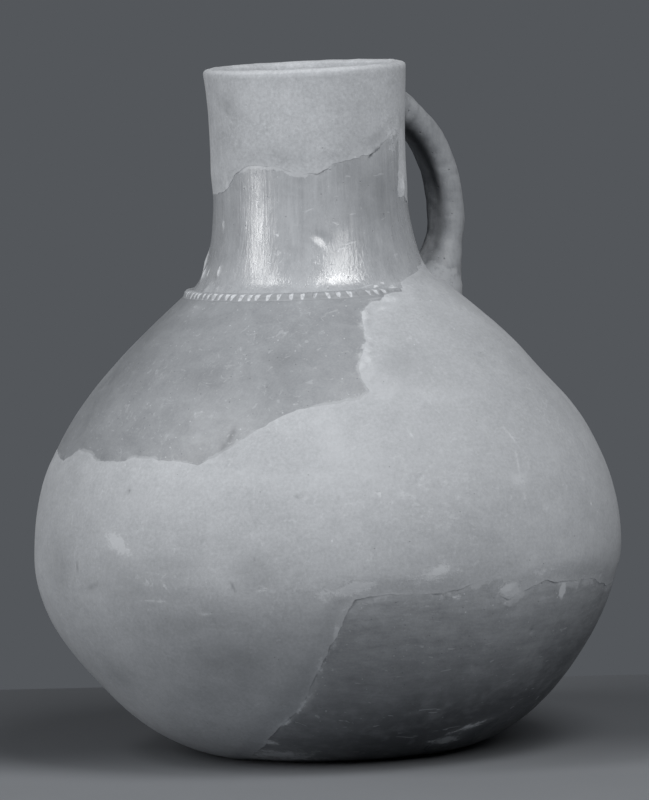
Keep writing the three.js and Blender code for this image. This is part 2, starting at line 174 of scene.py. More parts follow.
# %% Break lines
RIM_FILL_EDGE = [
    (145.5, 44.2), (174, 46.7), (180, 50), (186, 55), (195.5, 58.5), (213, 58.5), (221, 56.6),
    (226, 54.8), (240, 54.1), (244.5, 55.8), (249.5, 58.3), (261, 59.7), (278, 62.7), (291.5, 68.8),
    (300, 71.6), (306.5, 69.4), (307.5, 59.3), (304.5, 52.8), (301.5, 45.8), (301, 40.6), (313, 39.7),
    (325, 35.4), (343, 39.9), (362, 45.4), (382, 39.9), (405, 47.7), (430, 43.3), (455, 51), (480, 45.4),
    (505.5, 44.2),
]
FILL_TONGUE = [
    (279.5, 0.5), (281, 2.7), (288, 4.6), (297, 5.8), (308, 7.4), (321, 9.1), (330, 8), (336.5, 3.3),
    (339.5, -0.1), (342, 0),
]
SHOULDER_EDGE = [
    (268, 100), (263.5, 98.3), (259, 98.1), (256, 97.3), (252.5, 95.9), (251.5, 93.1), (250.5, 90.3),
    (247.5, 87.1), (246.5, 85.3), (247.5, 82.1), (248, 80.9), (245, 79.3), (235, 78.5), (229.5, 77.9),
    (225, 76.4), (219, 73.5), (214.5, 70.6), (208, 67.4), (203, 68.1), (190.5, 68.7), (187, 67.8),
    (178, 67.4), (174.5, 68.8), (168, 69.2), (161.5, 66.4), (148, 67.6), (136, 65.5), (124, 61.8),
    (113, 58.6), (104, 54.4),
]
SHOULDER_SPLIT = [(118, 100), (112, 89), (117, 78.6), (108, 65.7), (104, 54.4)]
RIGHT_FILL_END = [(342, 100), (343, 86.3), (339, 73.3), (346, 61.8), (350, 49.7)]
BACK_BREAK = [(350, 49.7), (368, 46.1), (395, 50.7), (420, 47.2), (445, 51.8), (464, 54.4)]
LOWER_EDGE = [
    (192.5, 0.7), (210.5, 5.3), (218, 10), (222, 12.6), (227, 16.1), (229, 19.7), (232.5, 25.4),
    (236, 31.7), (240, 39.1), (246.5, 39.9), (257.5, 39), (265.5, 41), (270, 41.6), (271, 39.4),
    (270, 37.3), (272.5, 36.2), (277.5, 38.1), (281, 39.1), (285.5, 38.3), (299, 37.3), (310, 34.2),
    (316.5, 34.8), (330, 36.6), (342, 44), (350, 49.7),
]
LEFT_FILL_END = [(104, 54.4), (112, 41.8), (117, 26.9), (128, 12.9), (143, 4.2), (147, 1)]
LOWER_SPLIT = [(35, 50.7), (38, 41.8), (29, 29.8), (36, 15.9), (30, 2)]
UNDER_BASE = [(30, 85), (45, 80), (85, 72), (125, 62), (147, 64), (165, 66), (192.5, 85)]
FILL_SEAM = [
    (247.5, 82.1), (253, 83.2), (256.5, 81), (265, 79.8), (267, 78), (268.5, 75.2), (268, 69.6),
    (265.5, 61.8), (264, 53.6), (266, 47.2), (265.5, 41),
]
WEDGE_OUTLINE = [
    (266.5, 5), (274, 7.1), (285.5, 7.6), (282.5, 5), (289, 2.2), (281, 1.2), (271, 1.2), (265.5, 2.7),
    (266.5, 5),
]

print("longest list of a break:", max(map(len, (RIM_FILL_EDGE, SHOULDER_EDGE, LOWER_EDGE))), "points")

# %% [markdown]
# Body, neck and base each have their own percent, so three helpers turn it into the run along the outline. A
# level ring round the foot of the neck is the potter's own joint, and the back ends of other breaks meet it.

# %% Places of the breaks
def body(points):
    return [(a, float(run_of_height(RING_HEIGHT * p / 100))) for a, p in points]


def neck(points):
    return [(a, float(run_of_height(RING_HEIGHT + (LIP_HEIGHT - RING_HEIGHT) * p / 100))) for a, p in points]


def base(points):
    return [(a, RUN_AT_BASE * p / 100) for a, p in points]


JUNCTIONS_ON_RING = {118, 268}
level_ring = [(a, RUN_AT_RING) for a in sorted({*range(-18, 280, 6)} | JUNCTIONS_ON_RING)]
BREAKS = {
    "rim_fill": neck(RIM_FILL_EDGE),
    "neck_foot": level_ring + neck(FILL_TONGUE),
    "shoulder": body(SHOULDER_EDGE),
    "shoulder_split": body(SHOULDER_SPLIT),
    "right_end": body(RIGHT_FILL_END),
    "back": body(BACK_BREAK),
    "lower": base(UNDER_BASE[-1:]) + body(LOWER_EDGE),
    "left_end": body(LEFT_FILL_END) + base([UNDER_BASE[4]]),
    "lower_split": body(LOWER_SPLIT) + base(UNDER_BASE),
    "seam": body(FILL_SEAM),
    "wedge": body(WEDGE_OUTLINE),
}
print("break lines:", len(BREAKS), "with", sum(map(len, BREAKS.values())), "chosen points")

# %% [markdown]
# Fired clay doesn't break in straight lines. Each stretch between two chosen points is divided into steps
# of about a millimetre, and the steps wander sideways by a smooth noise that dies out at the chosen points,
# so that lines that meet still meet. Potter's joints and the seam between two plasters wander less.

# %% Roughen the breaks
LINE_STEP, USUAL_WANDER, FULL_WANDER_LENGTH = 1.2, 0.9, 5
WANDER = {"neck_foot": 0.15, "seam": 0.5, "wedge": 0.5}


def roughened(name, line):
    amount = WANDER.get(name, USUAL_WANDER)
    made = [line[0]]
    for (a0, s0), (a1, s1) in zip(line, line[1:]):
        radius = max(float(np.interp((s0 + s1) / 2, run, outline[:, 0])), 4)
        across, up = math.radians(a1 - a0) * radius, s1 - s0
        length = math.hypot(across, up)
        count = max(1, round(length / LINE_STEP))
        for k in range(1, count + 1):
            t = k / count
            place = Vector((made[0][0] + len(made) * 0.31, s0 * 0.2, 0))
            fine = Vector((len(made) * 0.83, a0 * 0.37, 5))
            wobble = noise.noise(place) + 0.45 * noise.noise(fine)
            arch = math.sin(math.pi * t) ** 0.5 if k < count else 0
            side = amount * wobble * min(1, length / FULL_WANDER_LENGTH) * arch
            da, ds = -up / length * side, across / length * side
            made.append((a0 + (a1 - a0) * t + math.degrees(da / radius), s0 + (s1 - s0) * t + ds))
    return made


rough = {name: roughened(name, line) for name, line in BREAKS.items()}
print("points on the roughened breaks:", sum(map(len, rough.values())))

# %% [markdown]
# Some things sit at one place only: a blob of plaster, a dent, a smear, a stain, painted shade low on the
# body and beside the handle, and painted light at the foot. They are listed here, before the net, because
# the net has to be finer where they are small. Broad and shallow lumps show that the pot isn't round. A row
# holds azimuth in degrees, height, half width and half height in mm, then a lump's rise in mm or a mark's
# strength, where 1 is full, and last, for a spot that lies aslant, its turn in degrees.

# %% Lumps and marks
LUMPS = [
    (253.5, 183.1, 2.4, 1.8, 0.9), (253, 180, 2, 2.4, 0.8), (250.5, 171.5, 2.2, 1.6, 0.8),
    (249, 168.4, 2.6, 1.8, 0.8), (247.8, 163.9, 2, 1.8, 0.7), (240.5, 213, 3.4, 2, -0.7, -38),
    (236.4, 211.2, 4.4, 0.8, 0.1, -38), (157, 198, 1.4, 3.2, 0.9), (146, 202.7, 1.6, 4.5, 0.9),
    (171, 192.7, 1.6, 2, 0.7), (176, 200, 1.2, 2.6, 0.8), (308.5, 229.5, 1.8, 4, 0.9),
    (255, 120.5, 1.2, 1.2, -0.4), (280.5, 54, 1, 1, -0.6), (249.5, 181.5, 0.9, 0.9, -0.4),
    (325, 150, 30, 16, -1.2), (160, 32, 40, 20, -1.4), (143, 90, 60, 26, -1.7), (145, 262, 24, 16, -0.6),
]
PALE_MARKS_AND_LIGHT = [
    (191.5, 98, 10, 3.8, 1.25, -30), (197, 93, 3, 0.8, 0.6, -35), (203, 81, 0.8, 3, 0.9, 35),
    (253.3, 181.5, 2.4, 4, 0.9), (250, 170, 2.6, 4.5, 0.9, 10), (247.8, 163, 1.8, 5, 0.8, 15),
    (240, 79.4, 9, 2.8, 1.4, 8), (256.5, 84, 6, 2.6, 1.2, 10), (272.5, 73, 6, 3.6, 1.4),
    (287.5, 69, 2.4, 4.4, 1.5), (315, 66, 0.9, 2.6, 0.8, -30), (292, 71.5, 3, 0.8, 0.7, 10),
    (303, 71.5, 3, 1, 0.6), (260, 72.4, 2.6, 1.3, 0.8), (238, 71.5, 2.4, 2, 0.8),
    (236, 61.6, 1.2, 7, 0.95, -10), (232, 47.9, 1.3, 8, 0.95, -20), (226.5, 30.3, 1.6, 9, 0.95, -35),
    # The last two marks on the next line, wide pale patches at the foot, are painted light that lifts the
    # shade there.
    (221, 22.7, 2, 6, 0.95, -45), (212.5, 12.2, 5, 3, 0.95, -30), (212, 5, 20, 7, 1), (208, 3, 30, 8, 0.9),
    (280.5, 131, 1, 6, 0.9, 20), (279, 122, 1.1, 8, 0.8, -15), (277, 115.6, 7, 4, 0.75),
    (278, 107, 0.8, 5, 0.8), (299, 112, 2, 2, 0.6), (297, 90, 5, 4, 0.5, 30), (311, 100, 3, 8, 0.4),
    (183, 259, 1.2, 6, 0.6, 35), (188, 253, 1.6, 4, 0.5, 40), (311, 253, 1.6, 15, 0.7),
    (308.5, 232, 2, 8, 1), (157, 198, 1.3, 3.6, 1.4), (146, 203, 2.4, 6, 1.6), (176, 200, 1.1, 2.6, 1.2),
    (173, 219, 1.6, 3, 0.9), (163, 199, 1, 2.6, 1.1), (215, 215, 0.8, 0.9, 1.2), (178, 235, 1.6, 3, 0.8),
    (229, 150.6, 3.5, 0.5, 0.6, 10), (178, 186, 5, 3, 0.6, 20), (200, 84, 32, 5, 0.4),
    (170, 172, 10, 8, 0.3, 30), (196, 152, 14, 6, 0.3), (270, 9, 7, 3.6, 1.1, 10),
    (276, 14, 12, 3, 0.95, 22), (258, 118, 34, 26, 0.5), (249, 110, 0.8, 9, 0.8, 25),
    (255, 137, 0.7, 3, 0.9, 20), (246, 115.4, 0.8, 0.8, 1.3), (200, 75.5, 14, 0.7, 0.9, -4),
    (212, 71, 8, 0.7, 0.8, 8), (222.5, 80, 4, 1.6, 0.8, 10), (299.5, 101.5, 0.9, 0.9, 1.2),
    (251.5, 176, 2.2, 9, 0.8), (249.2, 166, 2.6, 8, 0.9, 5), (297, 255, 9, 12, 0.8),
    (262, 152, 20, 5, 0.4, -10), (267, 187, 5, 2.4, 0.9), (273, 191, 3.4, 2.2, 1, 30),
    (262, 184, 5, 1.6, 0.8, 10), (265, 192.5, 1.3, 0.8, 1.2, 20), (270, 193.5, 1.1, 0.7, 1.2, -10),
    (275, 190.5, 1.4, 0.7, 1.2, 30), (183, 149, 16, 6, 0.4, 10), (206, 148, 14, 6, 0.4, -8),
    (190, 160, 20, 4, 0.35, -15), (232, 163, 6, 3, 0.4, 10), (184, 262, 5, 1.2, 0.6, -40),
    (251, 249, 11, 2.6, 0.6, -5), (288, 258, 7, 9, 0.6), (257, 104, 24, 9, 0.45), (255, 82, 16, 4, 0.7),
    (280, 79, 8, 3, 0.8), (234, 77, 5, 4, 0.9), (209, 249, 16, 4, 0.35),
]
DARK_MARKS_AND_SHADE = [
    (183, 266, 5, 5, 0.35), (226, 248, 9, 4, 0.2, 20), (280, 252, 6, 2.2, 0.35, 25),
    (179, 87, 0.9, 2.4, 0.7), (217, 81.4, 0.6, 2.8, 0.7, 25), (192.5, 118, 0.7, 0.8, 0.8),
    (230, 116, 0.5, 0.6, 0.8), (221.5, 92, 0.6, 1, 0.6), (200, 90, 26, 4, 0.2), (184, 80, 5, 1, 0.4, 20),
    # The first two marks on the next line are painted shade, darkening the lower body towards the base.
    (292, 8, 105, 48, 1.35), (300, 34, 55, 22, 0.85, 15), (262, 91, 26, 5, 0.12, 8),
    # The first mark on the next line is painted shade beside the handle.
    (281, 226, 9, 14, 0.35), (165, 165, 26, 40, 0.3), (213, 50, 18, 10, 0.45), (178, 42, 16, 12, 0.3),
    (222, 85, 10, 7, 0.3), (198, 84, 26, 6, 0.25), (170, 86, 12, 9, 0.3), (222, 88, 12, 7, 0.3),
    (205, 66, 30, 5, 0.25, 10), (300, 95, 16, 30, 0.06), (214.5, 139.5, 1.3, 5, 0.45, -14),
    (213.2, 135.5, 1.6, 2.2, 0.4, -14), (203, 160, 9, 7, 0.25), (223, 168, 6, 5, 0.25, 20),
    (276, 245.3, 2.2, 0.45, 1.3, 42), (280, 247, 2.2, 0.5, 1.4, 30), (283.5, 248.6, 2, 0.45, 1.2, 55),
    (260, 163, 13, 12, 0.22), (190, 172, 12, 10, 0.18), (320, 60, 16, 20, 0.2),
]
SMALL_SPOT = 8
small_spots = [row for row in LUMPS + PALE_MARKS_AND_LIGHT + DARK_MARKS_AND_SHADE if max(row[2:4]) < SMALL_SPOT]
print("lumps:", len(LUMPS), "pale marks:", len(PALE_MARKS_AND_LIGHT), "dark marks:", len(DARK_MARKS_AND_SHADE))

# %% [markdown]
# The wall is now covered with points. Those of the breaks come first, then a ring of points on the rim, and
# then finer grids around the small spots, which stop just short of a break.

# %% Points that have to be in the net
SPACING = 2.0
RIM_STEP = 2.5
FINE_STEP, FINE_REACH, CLEAR_OF_BREAK = 0.75, 1.7, 0.45
polar, line_edges, lookup = [], [], {}


def add_point(azimuth, s):
    key = (round(azimuth % 360, 3), round(s, 3))
    if key not in lookup:
        lookup[key] = len(polar)
        polar.append((azimuth % 360, s))
    return lookup[key]


for line in rough.values():
    ids = [add_point(*p) for p in line]
    line_edges += [(a, b) for a, b in zip(ids, ids[1:]) if a != b]
line_count = len(polar)
rim_ring = [add_point(a, RUN_AT_RIM) for a in np.arange(0, 360, RIM_STEP)]
rim_edges = list(zip(rim_ring, rim_ring[1:] + rim_ring[:1]))


def tree_of(points):
    tree = KDTree(len(points))
    for i, p in enumerate(points):
        tree.insert(p, i)
    tree.balance()
    return tree


near_line = tree_of(on_wall(*np.array(polar[:line_count]).T, 0))
fine_cells = set()
for azimuth, height, across, up, *_ in small_spots:
    s0 = float(run_of_height(height))
    radius = float(np.interp(s0, run, outline[:, 0]))
    reach = FINE_REACH * max(across, up)
    steps_out = np.arange(-reach, reach + FINE_STEP / 2, FINE_STEP)
    dx, dy = (grid.ravel() for grid in np.meshgrid(steps_out, steps_out))
    inside = np.hypot(dx, dy) < reach
    azimuths, s_there = azimuth + np.degrees(dx[inside] / radius), s0 + dy[inside]
    for a, s, p in zip(azimuths, s_there, on_wall(azimuths, s_there, 0)):
        cell = tuple(np.floor(p / FINE_STEP).astype(int).tolist())
        clear = near_line.find(p)[2] > CLEAR_OF_BREAK and 1 < s < RUN_AT_RIM - 1
        if clear and cell not in fine_cells:
            fine_cells.add(cell)
            add_point(a, s)
print("points on breaks:", line_count, "on the rim:", len(rim_ring), "around small spots:", len(fine_cells))

# %% [markdown]
# Rings of points about 2 mm apart fill the rest, and one triangulation joins everything. A break may only
# run along triangle edges, so the pieces are found by spreading from triangle to triangle and never across
# a break. Building all pieces from one net is what makes their edges fit each other exactly.

# %% One net over the whole wall
CLEAR_OF_FINE, RING_CLOSENESS = 1.1, 0.87
near_fine = tree_of(on_wall(*np.array(polar[line_count + len(rim_ring):]).T, 0))
rng = np.random.default_rng(7)
ring_count = round(RUN_AT_RIM / SPACING / RING_CLOSENESS)
for s in np.linspace(SPACING, RUN_AT_RIM - SPACING * 0.8, ring_count):
    radius = np.interp(s, run, outline[:, 0])
    count = max(6, round(2 * math.pi * radius / SPACING))
    azimuths = (np.arange(count) + rng.uniform(0, 1)) * 360 / count
    for a, p in zip(azimuths, on_wall(azimuths, np.full(count, s), 0)):
        if near_line.find(p)[2] > SPACING * 0.55 and near_fine.find(p)[2] > CLEAR_OF_FINE:
            add_point(a, s)
add_point(0.0, 0.0)
polar = np.array(polar)
flat = [Vector(p) for p in on_map(polar[:, 0], polar[:, 1])]
net = delaunay_2d_cdt(flat, line_edges + rim_edges, [], 0, 1e-7, True)
assert all(net[3]), "two break lines cross where they have no common point"
triangles = np.array([ids[0] for ids in net[3]])[np.array(net[2])]
print("net:", len(polar), "points,", len(triangles), "triangles")

# %% [markdown]
# Spreading works like pouring paint: each triangle starts as its own puddle, puddles that share an edge
# which is no break run together, and what is left are the pieces. A marker point then says which puddle is
# which piece.

# %% Find the pieces
walls = {tuple(sorted(e)) for e in line_edges + rim_edges}
owner = list(range(len(triangles)))


def root(i):
    while owner[i] != i:
        owner[i] = owner[owner[i]]
        i = owner[i]
    return i


first = {}
for i, (a, b, c) in enumerate(triangles.tolist()):
    for e in ((a, b), (b, c), (c, a)):
        key = (min(e), max(e))
        if key in walls:
            continue
        if key in first:
            owner[root(i)] = root(first[key])
        else:
            first[key] = i
label = np.array([root(i) for i in range(len(triangles))])
middles = np.array(flat)[triangles].mean(1)

MARKERS = {
    "neck_rim_fill": neck([(235, 80)])[0],
    "neck_sherd": neck([(235, 25)])[0],
    "shoulder_sherd_front": body([(200, 85)])[0],
    "shoulder_sherd_back": body([(45, 80)])[0],
    "body_fill_front": body([(200, 45)])[0],
    "body_fill_right": body([(300, 60)])[0],
    "lower_sherd_front": body([(270, 22)])[0],
    "lower_sherd_back": body([(80, 25)])[0],
    "base_wedge_fill": body([(278, 3.5)])[0],
}
faces_of = {}
for name, (azimuth, s) in MARKERS.items():
    here = on_map(np.array(azimuth), np.array(s))
    scale = np.linalg.norm(here)
    nearest = np.argmin(np.linalg.norm((middles - here) / scale, axis=1))
    faces_of[name] = triangles[label == label[nearest]]
assert sum(map(len, faces_of.values())) == len(triangles), "two pieces run together, or a puddle has no name"
print({name: len(f) for name, f in faces_of.items()}, "of", len(triangles))

# %% [markdown]
# A hand-made wall is never true. One gentle unevenness is worked out for the whole net, so that it runs on
# from piece to piece. Each piece adds its own: plaster stands a little proud and rounds off at its edge,
# while a sherd's broken edge is worn down and chipped here and there.

# %% Unevenness of the wall
PLASTER_RISE = 0.6
places = on_wall(polar[:, 0], polar[:, 1], 0)


def noise_at(points, size, seed):
    shift = Vector((seed * 17.3, seed * 5.1, seed * 9.7))
    return np.array([noise.noise(Vector(p) / size + shift) for p in points])


def swell_at(points):
    """The slow unevenness of a wall that was made by hand, in mm."""
    return 0.55 * noise_at(points, 48, 1) + 0.22 * noise_at(points, 17, 2)


hand = swell_at(places) * smooth((places[:, 2] - 1) / 12)
break_points = [p for name, line in rough.items() if name != "seam" for p in line]
near_break = tree_of(on_wall(*np.array(break_points).T, 0))
line_distance = np.array([near_break.find(p)[2] for p in places])
chip = np.clip(noise_at(places, 5.5, 3) * 1.9 - 0.25, 0, 1)
fine = noise_at(places, 6.5, 4)


def patch(azimuth, height, across, up, turn=0.0):
    """A soft oval spot on the wall, 1 in its middle, across and up being its half sizes in mm."""
    radius = np.interp(height, outline[WALL_START:, 1], outline[WALL_START:, 0])
    s0 = float(run_of_height(height))
    dx = np.radians((polar[:, 0] - azimuth + 180) % 360 - 180) * radius
    dy = polar[:, 1] - s0
    c, t = math.cos(math.radians(turn)), math.sin(math.radians(turn))
    return np.exp(-(((dx * c + dy * t) / across) ** 2) - ((dy * c - dx * t) / up) ** 2)


for azimuth, height, across, up, rise, *turn in LUMPS:
    hand += rise * patch(azimuth, height, across, up, *turn)
print("unevenness in mm:", round(float(hand.min()), 2), "to", round(float(hand.max()), 2))

# %% [markdown]
# Marks that lie at one place, such as a smear of plaster, a dark stain, painted shade and painted light, are
# stored on the points as numbers from 0 to 1. A material reads them by name. Finer marks that are strewn
# all over come from textures later.

# %% Marks
def gathered(marks):
    """The strongest of all the marks at each point of the net."""
    total = np.zeros(len(polar))
    for azimuth, height, across, up, strength, *turn in marks:
        total = np.maximum(total, strength * patch(azimuth, height, across, up, *turn))
    return total


pale, dark = gathered(PALE_MARKS_AND_LIGHT), gathered(DARK_MARKS_AND_SHADE)
print("marks:", len(PALE_MARKS_AND_LIGHT), "pale,", len(DARK_MARKS_AND_SHADE), "dark")

# %% [markdown]
# Glue closed most joints to a few hundredths of a millimetre, and some stayed open as cracks. Between the
# two body plasters there is no joint to see, only a change of tone that is clear at the seam's top and soft
# below.

# %% Joints and seam
CLOSED_GAP, OPEN_GAP, HAIRLINE = 0.015, 0.5, 0.06
OPEN_JOINTS = [(279, 247, 7, 4), (150, 128, 6, 6), (262, 79, 3, 3), (236, 60, 4, 5), (248, 158, 4, 4)]
opened = np.max([patch(*spot) for spot in OPEN_JOINTS], axis=0)
hairline = smooth((noise_at(places, 14, 8) - 0.12) / 0.3) * HAIRLINE
edge_gap = CLOSED_GAP + OPEN_GAP * np.maximum(opened, hairline)
# How wide the change of tone is in mm, from the seam's top to its foot
SEAM_BLUR = (1.2, 2.5, 9, 16, 16)
seam_line = np.array(rough["seam"])
near_seam = tree_of(on_wall(*seam_line.T, 0))
seam_found = [near_seam.find(p) for p in places]
along_seam = np.array([found[1] for found in seam_found]) / len(seam_line)
blur = np.interp(along_seam, np.linspace(0, 1, len(SEAM_BLUR)), SEAM_BLUR)
seam_away = np.array([found[2] for found in seam_found])
front_side = np.zeros(len(polar), bool)
front_side[np.unique(faces_of["body_fill_front"])] = True
front_share = 0.5 + np.where(front_side, 0.5, -0.5) * smooth(seam_away / blur)
print("widest open joint:", round(float(edge_gap.max()), 2), "mm to each side")

# %% [markdown]
# A wall piece becomes a closed shell: its part of the net on the outside, the same part moved in by the
# wall's thickness on the inside, and a strip along its border that joins the two. These helpers find the
# border, step it back from the break, round the strip where it lies on the rim, and say how high a piece
# stands.

# %% Helpers for a shell
SHARP_ANGLE, LIP_TURNS = 48, 7
PLASTER = {"neck_rim_fill", "body_fill_front", "body_fill_right", "base_wedge_fill"}
PLASTER_ROUNDING, EDGE_WEAR, CHIP_DEPTH = 9, 0.03, 0.4
flush = smooth((noise_at(places, 26, 9) + 0.1) / 0.5)


def add_mesh(name, points, faces, values):
    mesh = bpy.data.meshes.new(name)
    mesh.from_pydata((points * MM).tolist(), [], faces)
    for key, numbers in values.items():
        mesh.attributes.new(key, "FLOAT", "POINT").data.foreach_set("value", np.asarray(numbers, np.float32))
    mesh.shade_smooth()
    mesh.set_sharp_from_angle(angle=math.radians(SHARP_ANGLE))
    made = bpy.data.objects.new(name, mesh)
    bpy.context.collection.objects.link(made)
    return made


def piece_rise(name, ids):
    """How far a piece stands off the true wall, in mm: plaster is proud, and clay is worn at its edge."""
    away = line_distance[ids]
    if name in PLASTER:
        proud = 0.1 * flush[ids]
        dabbed = 0.08 * fine[ids] * smooth(away / 3)
        return hand[ids] + proud + (PLASTER_RISE - proud) * smooth(away / PLASTER_ROUNDING) + dabbed
    worn = EDGE_WEAR * np.exp(-away / 0.9) + CHIP_DEPTH * chip[ids] * np.exp(-((away / 1.4) ** 2))
    return hand[ids] + 0.05 * fine[ids] - worn


def border_of(local):
    """The edges that only one triangle has, each in that triangle's direction."""
    directed = np.concatenate([local[:, [0, 1]], local[:, [1, 2]], local[:, [2, 0]]]).tolist()
    keys = {tuple(edge) for edge in directed}
    return [(a, b) for a, b in directed if (b, a) not in keys]


def step_back(border, outside, inside, gap, at_rim):
    """How far each point moves away from the break: by gap on the border, and not at all elsewhere."""
    inward = np.zeros_like(outside)
    up = outside - inside
    for a, b in border:
        side = np.cross(up[a], outside[b] - outside[a])
        side /= np.linalg.norm(side) + 1e-9
        inward[[a, b]] += side
    length = np.linalg.norm(inward, axis=1)
    length[(length < 0.1) | at_rim] = math.inf
    return inward / length[:, None] * gap[:, None]


def lip_rows(azimuth, rise, ids, outside, at_rim):
    """Rows of points that turn from the outside over the rim. Away from the rim they stay on the outside."""
    half = (NECK_WALL + rise) / 2
    angle = np.radians(azimuth)
    rows = [outside]
    for k in range(1, LIP_TURNS):
        turn = math.pi * k / LIP_TURNS
        radius = RIM_RADIUS + rise - half + half * math.cos(turn)
        lift = LIP_ROUND * math.sin(turn) * (1 + 0.12 * fine[ids])
        lip = np.stack([radius * np.cos(angle), radius * np.sin(angle), LIP_HEIGHT + lift], 1)
        rows.append(np.where(at_rim[:, None], lip, outside))
    return rows


print("plaster pieces:", len(PLASTER), "of", len(faces_of))

# %% [markdown]
# Now each piece is built, and carries along what its finish will read: how far a point is from the break,
# its pale and dark marks, its share of the front plaster's tone, and whether it lies on the inside. On the
# front plaster the dark marks, painted shade there, are weakened towards the table.

# %% Build the shells
# How much the dark marks on the front plaster, painted shade there, are weakened near the table, the height
# in mm where that starts, and the mm over which it grows.
FRONT_SHADE_CUT, FRONT_SHADE_CUT_BELOW, FRONT_SHADE_CUT_FADE = 0.8, 45, 30
EDGE_REACH = 30


def shell(name, faces):
    ids, local = np.unique(faces, return_inverse=True)
    local = local.reshape(faces.shape)
    azimuth, s = polar[ids].T
    rise = piece_rise(name, ids)
    rise[s <= RUN_AT_BASE] = 0
    at_rim = s > RUN_AT_RIM - 0.01
    outside = on_wall(azimuth, s, rise)
    inside = on_wall(azimuth, s, -wall_thickness(s) + 0.6 * hand[ids])
    border = border_of(local)
    step = step_back(border, outside, inside, edge_gap[ids], at_rim)
    outside += step
    inside += step
    outside[:, 2] = np.maximum(outside[:, 2], 0)
    points = np.concatenate(lip_rows(azimuth, rise, ids, outside, at_rim) + [inside])

    count = len(ids)
    inner = count * LIP_TURNS
    strip = []
    for a, b in border:
        rounded = at_rim[a] and at_rim[b]
        levels = [k * count for k in range(LIP_TURNS if rounded else 1)] + [inner]
        strip += [(b + u, a + u, a + v, b + v) for u, v in zip(levels, levels[1:])]
    used = np.unique(np.concatenate([np.ravel(f) for f in (local, local + inner, np.array(strip))]))
    place_of = np.full(len(points), -1)
    place_of[used] = np.arange(len(used))
    corners = local.tolist() + (local[:, ::-1] + inner).tolist() + strip
    faces = [tuple(place_of[list(f)].tolist()) for f in corners]

    each = used % count
    inner_side = (used >= inner).astype(float)
    # On the front plaster the painted shade of the dark marks is weakened near the table.
    front_shade_cut = FRONT_SHADE_CUT if name == "body_fill_front" else 0
    stain_and_shade = dark[ids] * (1 - front_shade_cut * smooth((FRONT_SHADE_CUT_BELOW - outside[:, 2]) / FRONT_SHADE_CUT_FADE))
    values = {
        "edge": np.minimum(line_distance[ids][each], EDGE_REACH),
        "pale": pale[ids][each] * (1 - inner_side),
        "dark": stain_and_shade[each] * (1 - inner_side),
        "front": front_share[ids][each],
        "inner": inner_side,
    }
    made = add_mesh(name + "_surface", settle(points[used]), faces, values)
    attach(made, "root")
    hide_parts(name)
    return made


shells = {name: shell(name, faces) for name, faces in faces_of.items()}
print("shells:", {name: len(o.data.polygons) for name, o in shells.items()})

# %% [markdown]
# A thin cord of clay hides the joint of neck and body. The potter pressed short notches across it with a
# blunt tool and rubbed white paste into them. No two notches are alike, so pitch, place, width, length,
# slant and the paste that is left are worked out for each. Close to the plaster the cord is worn down and
# the paste nearly gone.

# %% Notches of the cord
BAND_WIDTH, BAND_RISE, BAND_FROM, BAND_TO = 5.2, 1.1, -17.0, 277.0
NOTCH_WIDTH, NOTCH_LENGTH, NOTCH_DEPTH, PASTE_DEPTH = 2.3, 4.7, 0.7, 0.3
CLOSE_PITCH, WIDER_BY, WIDEST_AT, WIDE_REACH = 3.9, 1.5, 228, 20
ACROSS_STEPS, STEPS_PER_DEGREE = 18, 3.6
DRAWS, WELL_FILLED, LEAST_FILLED = 80, 42, 0.8
azimuths = np.linspace(BAND_FROM, BAND_TO, round((BAND_TO - BAND_FROM) * STEPS_PER_DEGREE) + 1)
share = np.linspace(-1, 1, ACROSS_STEPS + 1)
stops = [BAND_FROM]
while stops[-1] < BAND_TO:
    wider = math.exp(-(((stops[-1] - WIDEST_AT) / WIDE_REACH) ** 2))
    stops.append(stops[-1] + CLOSE_PITCH + WIDER_BY * wider)
stops = np.array(stops)
notch = np.abs(azimuths[:, None] - stops[None, :]).argmin(1)
rng = np.random.default_rng(11)
shift, width = rng.normal(0, 0.22, DRAWS), rng.normal(1, 0.14, DRAWS)
length, tilt = rng.normal(1, 0.08, DRAWS), rng.normal(0, 0.12, DRAWS)
kept = np.clip(rng.normal(0.8, 0.26, DRAWS), 0.2, 1)
kept[:WELL_FILLED] = np.maximum(kept[:WELL_FILLED], LEAST_FILLED)
rubbed_off = (1 - 0.55 * smooth((azimuths - 260) / 14)) * (1 - 0.12 * smooth((azimuths - 195) / 20))
kept_here = kept[notch] * rubbed_off
from_centre = (azimuths - stops[notch]) * math.radians(1) * RING_RADIUS - shift[notch]
leaning = tilt[notch] + 0.5 - 0.85 * smooth((azimuths - 200) / 60)
over_x = from_centre[:, None] - leaning[:, None] * share[None, :] * BAND_WIDTH / 2
over_y = np.abs(share[None, :]) * BAND_WIDTH / 2
half_w = NOTCH_WIDTH / 2 * width[notch][:, None] * np.where(over_x > 0, 0.8, 1.15)
half_l = NOTCH_LENGTH / 2 * length[notch][:, None]
inside_notch = smooth((1.12 - np.hypot(over_x / half_w, over_y / half_l)) / 0.42)
print("notches:", len(stops), "from", round(float(np.diff(stops).min()), 1), "to",
      round(float(np.diff(stops).max()), 1), "degrees apart")

# %% [markdown]
# The cord itself is a tube of rings, each ring going over its round back and returning underneath, inside
# the wall. The height of the back is a power of a cosine less the notches. The handle uses the same way to
# join rings.

# %% Notched cord
def tube_faces(rings, sides):
    """Join rings that follow each other, all with the same number of points, and close both ends."""
    faces = []
    for i in range(rings - 1):
        for k in range(sides):
            a, b = i * sides + k, i * sides + (k + 1) % sides
            faces.append((a, a + sides, b + sides, b))
    return faces + [tuple(range(sides)), tuple(reversed(range((rings - 1) * sides, rings * sides)))]


